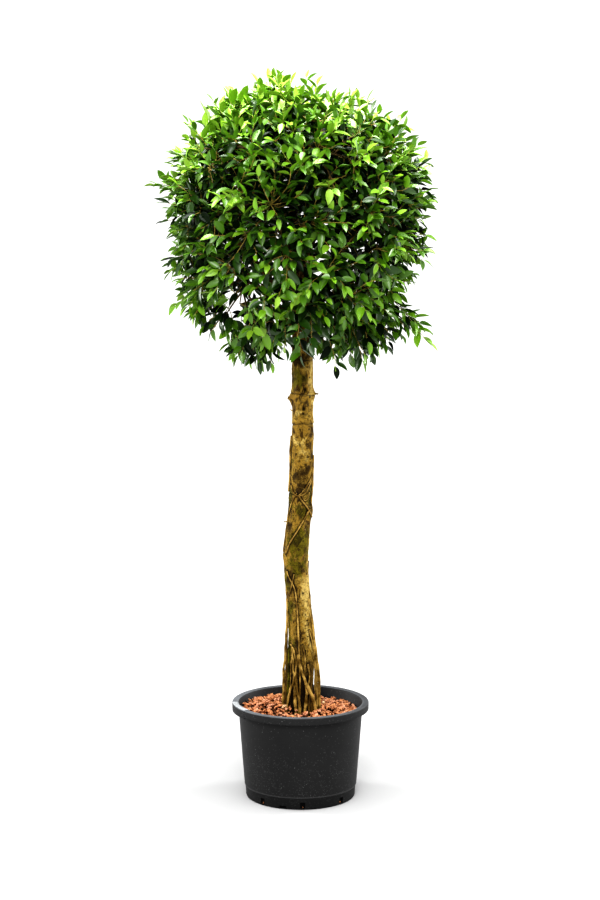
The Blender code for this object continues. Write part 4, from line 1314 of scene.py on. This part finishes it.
def make_boughs(masses, bark):
    """The limbs with their bark, each from inside what carries it to the hub of its mass."""
    chance = random.Random(3)
    for tier, *_ in TIERS:
        batch = Batch()
        nodes = []
        for name, _, limb in masses:
            if name.startswith(tier):
                nodes.append("leader" if tier == "top" else f"bough_{name}")
                batch.add(bough_tube(limb, chance))
        mesh = batch.mesh(f"boughs_{tier}")
        for vert in mesh.vertices:
            vert.co += vert.normal * BOUGH_RELIEF * noise.noise(vert.co * 70.0)
        cloud = np.array([noise.noise(vert.co * 25.0) for vert in mesh.vertices])
        bare = np.zeros(len(cloud))
        keep_values(mesh, np.clip(cloud, 0, 0.6), bare + BOUGH_STAIN, bare, bare)
        add_piece(f"boughs_{tier}", mesh, "bark", *nodes, materials=[bark])


def leaf_shape(fold, curl, twist, skew):
    """A pointed blade along +Y, folded up along its midrib and curling down to its tip."""
    bm = bmesh.new()
    bmesh.ops.create_grid(bm, x_segments=2, y_segments=len(BLADE_ALONG) - 1, size=0.5)
    for vert in bm.verts:
        row = round((vert.co.y + 0.5) * (len(BLADE_ALONG) - 1))
        side = round(vert.co.x * 2)
        v, half = BLADE_ALONG[row], BLADE_WIDTH[row] * 0.5
        turn = twist * (v - 0.5)
        x = side * half * (1.0 + skew * side)
        z = fold * abs(x) - curl * v * v + 0.03 * side * math.sin(v * 9.0) * half
        vert.co = (x * math.cos(turn), v, z + x * math.sin(turn))
    bmesh.ops.remove_doubles(bm, verts=bm.verts[:], dist=0.0001)
    bm.normal_update()
    if sum(face.normal.z for face in bm.faces) < 0:
        bmesh.ops.reverse_faces(bm, faces=bm.faces[:])
    return template(bm)


def any_vector(chance):
    return Vector((chance.uniform(-1, 1), chance.uniform(-1, 1), chance.uniform(-1, 1)))


def from_tip(line, back):
    """The place on a line this far back from its tip, and which way the line runs there."""
    lengths = [(b - a).length for a, b in zip(line, line[1:])]
    at, segment = sum(lengths) - back, 0
    while segment < len(lengths) - 1 and at > lengths[segment]:
        at -= lengths[segment]
        segment += 1
    begin, end = line[segment], line[segment + 1]
    return begin.lerp(end, at / lengths[segment]), (end - begin).normalized()


def tapered(foot, tip, count):
    """Radii that go evenly from one at the foot to one at the tip."""
    return [foot + (tip - foot) * step / (count - 1) for step in range(count)]


class Foliage:
    """Grows the fine twigs and leaves of one mass into its two batches."""

    def __init__(self, settings, chance):
        self.settings, self.chance = settings, chance
        self.twigs, self.leaves = Batch(), Batch()
        self.blades = [leaf_shape(*kind) for kind in BLADE_KINDS]

    def leaf(self, root, way, face, size, tone):
        """One blade from its root, its upper side turned towards its face."""
        side = way.cross(face)
        if side.length < 0.05:
            side = way.orthogonal()
        side.normalize()
        up = side.cross(way)
        length = self.settings.leaf_length * size
        width = self.settings.leaf_width * size * self.chance.uniform(0.88, 1.1)
        columns = (side * width, way * length, up * width)
        self.leaves.place(self.chance.choice(self.blades), root, columns, 1.0, tone)

    def leaf_tone(self, tone, number):
        """A leaf's tone from that of its spray, younger at the tip."""
        chance = self.chance
        tone += number == 0 and chance.random() < 0.7
        tone += number <= 1 and chance.random() < 0.3
        shift = chance.random()
        tone += (shift > 0.86) - (shift < 0.25)
        return min(max(tone, 0), TONES - 1)

    def level_across(self, way):
        """A nearly level unit vector at right angles to a twig."""
        across = way.cross(Vector((0, 0, 1)) + any_vector(self.chance) * 0.2)
        if across.length < 0.05:
            across = way.orthogonal()
        return across.normalized()

    def spray(self, line, outward, low, tone, leaves, size):
        """Leaves in turn along the last part of a fine twig, with a young one at its tip."""
        chance, settings = self.chance, self.settings
        total = sum((b - a).length for a, b in zip(line, line[1:]))
        gap = settings.internode * chance.uniform(0.85, 1.2)
        turn = chance.uniform(0.0, math.tau)
        for number in range(leaves):
            back = gap * (number + 0.15) * (0.55 + 0.45 * min(number, 3) / 3)
            if back > total * 0.96:
                break
            here, way = from_tip(line, back)
            across = self.level_across(way)
            turn += LEAF_TURN + chance.uniform(-0.25, 0.25)
            flat = across * math.cos(turn) + across.cross(way) * (0.6 * math.sin(turn))
            lean = math.radians(chance.uniform(*(LEAF_LEAN if number else TIP_LEAF_LEAN)))
            out = (way * math.cos(lean) + flat.normalized() * math.sin(lean)).normalized()
            droop = settings.droop_low * low + settings.droop_high * (1.0 - low)
            out.z -= droop * chance.uniform(0.5, 1.3) * (1.0 if number else 0.4)
            out = (out + any_vector(chance) * 0.20).normalized()
            face = Vector((0, 0, 1.0 - 0.25 * low)) + outward * (0.05 + 0.50 * low)
            face += any_vector(chance) * 0.50
            growth = min(1.0, 0.76 + 0.12 * number) * size * chance.uniform(0.84, 1.12)
            stalk = out * STALK_LENGTH * growth
            self.leaf(here + stalk * 0.8, out, face, growth, self.leaf_tone(tone, number))
            skin = GREEN_TWIG if tone > 2 else TAN_TWIG
            self.twigs.add(tube([here, here + stalk], STALK_RADII, 3), skin)
        if chance.random() < settings.buds:
            way = (line[-1] - line[-2]).normalized()
            way = (way + any_vector(chance) * 0.15).normalized()
            self.leaf(line[-1], way, any_vector(chance), BUD_SIZE, TONES - 1)

    def fine_twig(self, start, tip, heading, outward, low, tone, leaves=8, size=1.0):
        """A fine twig that arrives at its tip with a heading, and its spray."""
        bend = tip - heading * (tip - start).length * 0.45
        line = bowed(start, bend, tip, FINE_TWIG_STEPS)
        skin = GREEN_TWIG if tone > 2 else TAN_TWIG
        self.twigs.add(tube(line, tapered(*FINE_TWIG_RADII, len(line)), 4), skin)
        self.spray(line, outward, low, tone, leaves, size)

    def carrier(self, line):
        """One of the larger twigs, which carries fine ones."""
        self.twigs.add(tube(line, tapered(*TWIG_RADII, len(line)), 6), BROWN_TWIG)


def easiest_start(spots, tip, hub):
    """The place on the larger twigs from which a fine twig best reaches its tip."""
    inwards = (hub - tip).normalized()

    def effort(spot):
        apart = spot - tip
        if apart.length < SHORTEST_TWIG:
            return math.inf
        return apart.length - 0.04 * apart.normalized().dot(inwards)

    return min(spots, key=effort)


def grow_sprays(foliage, hub, spots, ends):
    """The fine twigs that fill a mass, in lighter tones the nearer they come to the light."""
    chance = foliage.chance
    for way, depth in ends:
        tip = on_crown(way, -depth)
        start = easiest_start(spots, tip, hub)
        low = clamped(0.5 - (tip.z - CROWN_CENTRE.z) / 0.9)
        high = 1.0 - low
        outer = clamped(1.0 - (depth - dent(way)) / SHADE_DEPTH)
        heading = (way * 0.75 + (tip - start).normalized() * 0.6).normalized()
        heading.z += 0.75 * high - 0.18 * low
        heading = (heading + any_vector(chance) * 0.35).normalized()
        light = 0.4 + 0.9 * high**3 + 0.5 * low**2 + outer * (2.15 + 1.15 * smooth(high))
        light += chance.gauss(0.0, 0.62)
        tone = int(min(max(light, 0.0), TONES - 2))
        leaves = chance.randint(*LEAF_COUNTS)
        size = chance.uniform(0.88, 1.08)
        foliage.fine_twig(start, tip, heading, way, low, tone, leaves, size)


def grow_loose(foliage, walls):
    """Single sprays that stand out of the clipped outline."""
    chance = foliage.chance
    for angle, elevation, beyond in LOOSE_SPRAYS:
        way = direction(angle, elevation)
        if inside(way, walls):
            reach = envelope(way) + beyond - LEAF_REACH
            heading = (way + any_vector(chance) * 0.3).normalized()
            start = CROWN_CENTRE + (way + any_vector(chance) * 0.05) * (reach - LOOSE_TWIG)
            # Painted shade and light: loose sprays below the middle take a dark tone, those above
            # a bright one.
            low, tone = (0.7, 1) if elevation < 0.0 else (0.1, 4)
            foliage.fine_twig(start, CROWN_CENTRE + way * reach, heading, way, low, tone)


def grow_shoots(foliage, walls):
    """Young shoots past the outline, each a row of sprays."""
    chance = foliage.chance
    for angle, elevation, beyond in SHOOTS:
        way = direction(angle, elevation)
        if inside(way, walls):
            for number in range(SHOOT_SPRAYS):
                beyond_tip = beyond - SHOOT_TIP - SHOOT_GAP * number
                tip = on_crown(way, beyond_tip)
                tip += any_vector(chance) * 0.028 * min(number, 1)
                start = on_crown(way, beyond_tip - SHOOT_REACH)
                foliage.fine_twig(start, tip, way, way, 0.25, 3)


def grow_mass(foliage, way, limb, walls, tips, ends):
    """One mass: the source's twigs, finer twigs that leave them, and sprays of leaves."""
    carriers = plan_twigs(limb, way, tips, walls, foliage.chance)
    for line in carriers:
        foliage.carrier(line)
    spots = [point for line in carriers for point in line[1:]]
    spots += [limb.point(0.66 + 0.04 * step) for step in range(9)]
    grow_sprays(foliage, limb.hub, spots, ends)
    grow_loose(foliage, walls)
    grow_shoots(foliage, walls)


def in_thin_place(spot):
    return any(math.hypot(spot.x - x, spot.z - z) < reach for x, z, reach in THIN_PLACES)


def plan_sprays(settings):
    """Where fine twigs end: a direction and a depth for each, layer by layer."""
    ends = []
    chance = random.Random(71)
    for counted, turn, least, most in SPRAY_LAYERS:
        outer, inner = least < 0.05, least > 0.12
        bare_below = INNER_BARE_BELOW if inner else OUTER_BARE_BELOW
        for even in spread_ways(getattr(settings, counted), turn, bare_below):
            if inner and chance.random() > 0.95 * smooth(clamped(even.z * 1.1 + 0.62)):
                continue
            way = (even + any_vector(chance) * 0.05).normalized()
            depth = chance.uniform(least, most) + dent(way)
            if outer and chance.random() < STRAY_SHARE:
                depth -= chance.uniform(*STRAY_REACH) * (1.0 if even.z > 0.3 else 0.6)
            if not in_thin_place(on_crown(way, -depth)) or chance.random() < THIN_SHARE:
                ends.append((way, depth))
    return ends


def leaf_tones(settings):
    """The materials of the leaves, from the oldest to the young tips, which as dealt out also
    paint light and shade.
    """
    tones = []
    for number, (rough, gloss) in enumerate(LEAF_FINISHES, 1):
        colour = getattr(settings, f"leaf_{number}")
        paint = Paint(f"leaf_tone_{number}")
        tones.append(paint.finished(colour, rough, settings.leaf_gloss * gloss))
    return tones


def make_foliage(masses, settings):
    """The twigs and leaves of each mass, which keep to the space nearest to its direction."""
    ways = [way for _, way, _ in masses]

    def nearest(place):
        return max(range(len(ways)), key=lambda number: ways[number].dot(place))

    tips, ends = [[] for _ in ways], [[] for _ in ways]
    for way in spread_ways(TWIG_TIPS):
        tips[nearest(way)].append(way)
    for way, depth in plan_sprays(settings):
        ends[nearest(way)].append((way, depth))
    leaf_skins = leaf_tones(settings)
    twig_skins = [Paint(name).finished(*finish) for name, *finish in TWIG_SKINS]
    for number, (name, way, limb) in enumerate(masses):
        foliage = Foliage(settings, random.Random(100 + number))
        walls = [(way - other).normalized() for other in ways if other is not way]
        grow_mass(foliage, way, limb, walls, tips[number], ends[number])
        leaves, twigs = f"leaves_{name}", f"twigs_{name}"
        add_piece(
            leaves, foliage.leaves.mesh(leaves), "foliage", f"foliage_{name}",
            materials=leaf_skins,
        )
        add_piece(twigs, foliage.twigs.mesh(twigs), "foliage", materials=twig_skins)


# ------------------------------------------------------------------ stage
def make_floor(settings):
    bm = bmesh.new()
    bmesh.ops.create_circle(bm, cap_ends=True, radius=FLOOR_RADIUS, segments=96)
    mesh = bpy.data.meshes.new("floor")
    bm.to_mesh(mesh)
    bm.free()
    mesh.materials.append(Paint("pale_floor").finished(settings.floor, 0.95, 0.0))
    floor = bpy.data.objects.new("floor", mesh)
    bpy.context.scene.collection.objects.link(floor)


def make_lights(settings):
    world = bpy.data.worlds.new("studio")
    world.use_nodes = True
    background = world.node_tree.nodes["Background"].inputs
    background["Color"].default_value = (1.0, 1.0, 1.0, 1.0)
    background["Strength"].default_value = settings.ambient
    bpy.context.scene.world = world
    for name, place, aim, size, power in (
        ("top_light", (0.0, -0.4, 5.6), 2.4, 2.6, settings.top_light),
        ("front_light", (-0.4, -5.5, 4.6), 1.8, 2.2, settings.front_light),
        ("left_light", (-4.6, 1.6, 2.2), 1.4, 1.8, settings.side_lights),
        ("right_light", (4.6, 1.6, 2.2), 1.4, 1.8, settings.side_lights),
    ):
        lamp = bpy.data.lights.new(name, "AREA")
        lamp.shape, lamp.size, lamp.energy = "DISK", size, power
        obj = bpy.data.objects.new(name, lamp)
        obj.location = place
        way = Vector((0.0, 0.0, aim)) - Vector(place)
        obj.rotation_euler = way.to_track_quat("-Z", "Y").to_euler()
        bpy.context.scene.collection.objects.link(obj)


def make_camera(settings):
    lens = bpy.data.cameras.new("camera")
    lens.lens, lens.sensor_width, lens.clip_end = settings.lens, 36.0, 100.0
    camera = bpy.data.objects.new("camera", lens)
    camera.location = (CAMERA_ASIDE, -settings.distance, settings.camera_height)
    camera.rotation_euler = (math.radians(90.0) - settings.pitch, 0.0, 0.0)
    scene = bpy.context.scene
    scene.collection.objects.link(camera)
    scene.camera = camera
    scene.view_settings.view_transform = "Standard"
    scene.view_settings.look = "High Contrast"


# ------------------------------------------------------------------ settings and operators
def colour_prop(name, value, description):
    return bpy.props.FloatVectorProperty(
        name=name, description=description, subtype="COLOR", size=3, min=0.0, max=1.0,
        default=value,
    )


def number_prop(name, default, top, description, kind=bpy.props.FloatProperty, **more):
    """A number from nought to a top, unless more says otherwise."""
    more.setdefault("min", 0)
    return kind(name=name, description=description, default=default, max=top, **more)


def count_prop(name, default, top, description, **more):
    return number_prop(name, default, top, description, bpy.props.IntProperty, **more)


class PotSettings(bpy.types.PropertyGroup):
    plastic: colour_prop("Plastic", (0.0168, 0.0168, 0.0170), "Colour of the pot's plastic")
    # Dust: the colour of the pale specks, and also of the painted highlight above the foot.
    dust: colour_prop("Dust", (0.20, 0.20, 0.20), "Colour of the pale specks on the plastic")
    # Worn rim: the colour of the rim's top, lighter from wear and from a painted sheen.
    rim: colour_prop("Worn rim", (0.095, 0.100, 0.108), "Colour of the worn top of the rim")
    # Lip: the colour of the painted highlight along the rim's inner edge and over the left of its
    # top.
    lip_highlight: colour_prop("Lip", (0.28, 0.30, 0.32), "Colour of the rim's rubbed inner edge")
    bare: colour_prop("Bare plastic", (0.37, 0.385, 0.395), "Colour of the bare top of the lug")


class MulchSettings(bpy.types.PropertyGroup):
    chips: count_prop("Chips", 1350, 6000, "How many lava chips cover the soil", min=100)
    chip: colour_prop("Chip", (0.66, 0.305, 0.138), "Colour of most of the lava chips")
    # Dark chip: the colour of the darker chips, and also of the painted shade in the gaps between
    # chips.
    dark_chip_and_gap_shade: colour_prop("Dark chip", (0.34, 0.135, 0.060), "Colour of the darker chips")


class TrunkSettings(bpy.types.PropertyGroup):
    bark: colour_prop("Bark", (0.245, 0.150, 0.024), "Main colour of the bark")
    bark_shadow: colour_prop("Bark shadow", (0.050, 0.027, 0.004), "Colour between its ridges")
    bark_light: colour_prop("Bark light", (0.378, 0.250, 0.046), "Colour of its lighter fields")
    buff: colour_prop("Buff", (0.50, 0.372, 0.122), "Colour of the pale rubbed places")
    moss: colour_prop("Moss", (0.026, 0.023, 0.0010), "Colour of the moss")
    moss_light: colour_prop("Light moss", (0.115, 0.100, 0.004), "Colour of the young moss")
    # Stain: the colour of dark stains, and also of painted shade in the bark's cracks, below the
    # crown and on its foot.
    stain_and_shade: colour_prop("Stain", (0.026, 0.013, 0.0018), "Colour of the dark stains")
    root: colour_prop("Root", (0.43, 0.285, 0.080), "Main colour of the aerial roots")
    root_dark: colour_prop("Dark root", (0.110, 0.062, 0.009), "Their darker stretches")


class CrownSettings(bpy.types.PropertyGroup):
    leaf_length: number_prop(
        "Leaf length", 0.067, 0.12, "Length of a full-grown blade", min=0.02, unit="LENGTH"
    )
    leaf_width: number_prop(
        "Leaf width", 0.0305, 0.06, "Width of a full-grown blade", min=0.01, unit="LENGTH"
    )
    internode: number_prop(
        "Internode", 0.0155, 0.05, "Distance between leaves along a twig", min=0.005,
        unit="LENGTH",
    )
    droop_low: number_prop("Droop below", 0.42, 2.0, "How far the lowest leaves hang")
    droop_high: number_prop("Droop above", 0.0, 2.0, "How far the highest leaves hang")
    outer_sprays: count_prop("Outer sprays", 680, 1500, "Sprays at the clipped outline")
    middle_sprays: count_prop("Middle sprays", 460, 1500, "Sprays a hand's width inside")
    inner_sprays: count_prop("Inner sprays", 380, 1500, "Sprays well inside the crown")
    core_sprays: count_prop("Core sprays", 220, 1500, "Sprays that close its middle")
    buds: number_prop(
        "Buds", 0.25, 1.0, "Share of twigs that end in a yellow bud", subtype="FACTOR"
    )
    leaf_gloss: number_prop(
        "Gloss", 0.38, 1.0, "How strongly the leaves reflect", subtype="FACTOR"
    )
    # Leaf tones from dark to bright: besides age they carry painted shade deep in the crown and
    # painted light at its outside, top and bottom.
    leaf_1: colour_prop("Leaf 1", (0.003, 0.011, 0.001), "The oldest, darkest leaves")
    leaf_2: colour_prop("Leaf 2", (0.018, 0.055, 0.003), "Deep green leaves")
    leaf_3: colour_prop("Leaf 3", (0.068, 0.165, 0.006), "Mature leaves")
    leaf_4: colour_prop("Leaf 4", (0.140, 0.292, 0.012), "Fresh leaves")
    leaf_5: colour_prop("Leaf 5", (0.172, 0.318, 0.022), "Bright leaves")
    leaf_6: colour_prop("Leaf 6", (0.205, 0.345, 0.030), "Young tips")


class StageSettings(bpy.types.PropertyGroup):
    distance: number_prop("Distance", 7.9, 30.0, "Camera's distance", unit="LENGTH")
    camera_height: number_prop("Height", 2.448, 10.0, "Camera's height", unit="LENGTH")
    pitch: number_prop(
        "Pitch", math.radians(7.26), 1.5, "How far the camera looks down", unit="ROTATION"
    )
    lens: number_prop("Lens", 78.24, 300.0, "Focal length in millimetres", min=10.0)
    ambient: number_prop("Ambient", 0.94, 5.0, "Strength of the light all round")
    top_light: number_prop("Top light", 400.0, 5000.0, "Power of the lamp above", unit="POWER")
    front_light: number_prop(
        "Front light", 225.0, 5000.0, "Power of the lamp at the front", unit="POWER"
    )
    side_lights: number_prop(
        "Side lights", 170.0, 5000.0, "Power of the lamps at either side", unit="POWER"
    )
    floor: colour_prop("Floor", (0.405, 0.405, 0.405), "Colour of the floor")


class TOPIARY_OT_stage(bpy.types.Operator):
    """Make the floor, the lights and the camera"""

    bl_idname = "topiary.stage"
    bl_label = "Stage"

    def execute(self, context):
        settings = context.scene.topiary_stage
        make_floor(settings)
        make_lights(settings)
        make_camera(settings)
        return {"FINISHED"}


class TOPIARY_OT_pot(bpy.types.Operator):
    """Make the nursery pot and finish its soil"""

    bl_idname = "topiary.pot"
    bl_label = "Pot"

    def execute(self, context):
        make_pot(context.scene.topiary_pot)
        return {"FINISHED"}


class TOPIARY_OT_mulch(bpy.types.Operator):
    """Cover the soil with lava chips"""

    bl_idname = "topiary.mulch"
    bl_label = "Lava chips"

    def execute(self, context):
        make_mulch(context.scene.topiary_mulch)
        return {"FINISHED"}


class TOPIARY_OT_trunk(bpy.types.Operator):
    """Make the trunk's bark, its aerial roots and the boughs"""

    bl_idname = "topiary.trunk"
    bl_label = "Trunk and boughs"

    def execute(self, context):
        settings = context.scene.topiary_trunk
        bark = fig_bark(settings)
        noise.seed_set(SWAY_SEED)
        make_bark(bark)
        make_roots(settings)
        make_boughs(plan_masses(), bark)
        return {"FINISHED"}


class TOPIARY_OT_crown(bpy.types.Operator):
    """Grow the twigs and leaves of every mass"""

    bl_idname = "topiary.crown"
    bl_label = "Crown"

    def execute(self, context):
        make_foliage(plan_masses(), context.scene.topiary_crown)
        return {"FINISHED"}


OPERATORS = (
    TOPIARY_OT_stage, TOPIARY_OT_pot, TOPIARY_OT_mulch, TOPIARY_OT_trunk, TOPIARY_OT_crown,
)
SETTINGS = {
    "topiary_stage": StageSettings,
    "topiary_pot": PotSettings,
    "topiary_mulch": MulchSettings,
    "topiary_trunk": TrunkSettings,
    "topiary_crown": CrownSettings,
}


class TOPIARY_PT_sidebar(bpy.types.Panel):
    bl_idname = "TOPIARY_PT_sidebar"
    bl_label = "Topiary"
    bl_space_type = "VIEW_3D"
    bl_region_type = "UI"
    bl_category = "Topiary"

    def draw(self, context):
        for operator in OPERATORS:
            self.layout.operator(operator.bl_idname)
        for name, group in SETTINGS.items():
            box = self.layout.box()
            for key in group.__annotations__:
                box.prop(getattr(context.scene, name), key)


def register():
    for cls in (*SETTINGS.values(), *OPERATORS, TOPIARY_PT_sidebar):
        bpy.utils.register_class(cls)
    for name, group in SETTINGS.items():
        setattr(bpy.types.Scene, name, bpy.props.PointerProperty(type=group))


def unregister():
    for name in SETTINGS:
        delattr(bpy.types.Scene, name)
    for cls in reversed((*SETTINGS.values(), *OPERATORS, TOPIARY_PT_sidebar)):
        bpy.utils.unregister_class(cls)


def main():
    register()
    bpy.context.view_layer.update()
    for operator in OPERATORS:
        group, name = operator.bl_idname.split(".")
        getattr(getattr(bpy.ops, group), name)()


if __name__ == "__main__":
    main()
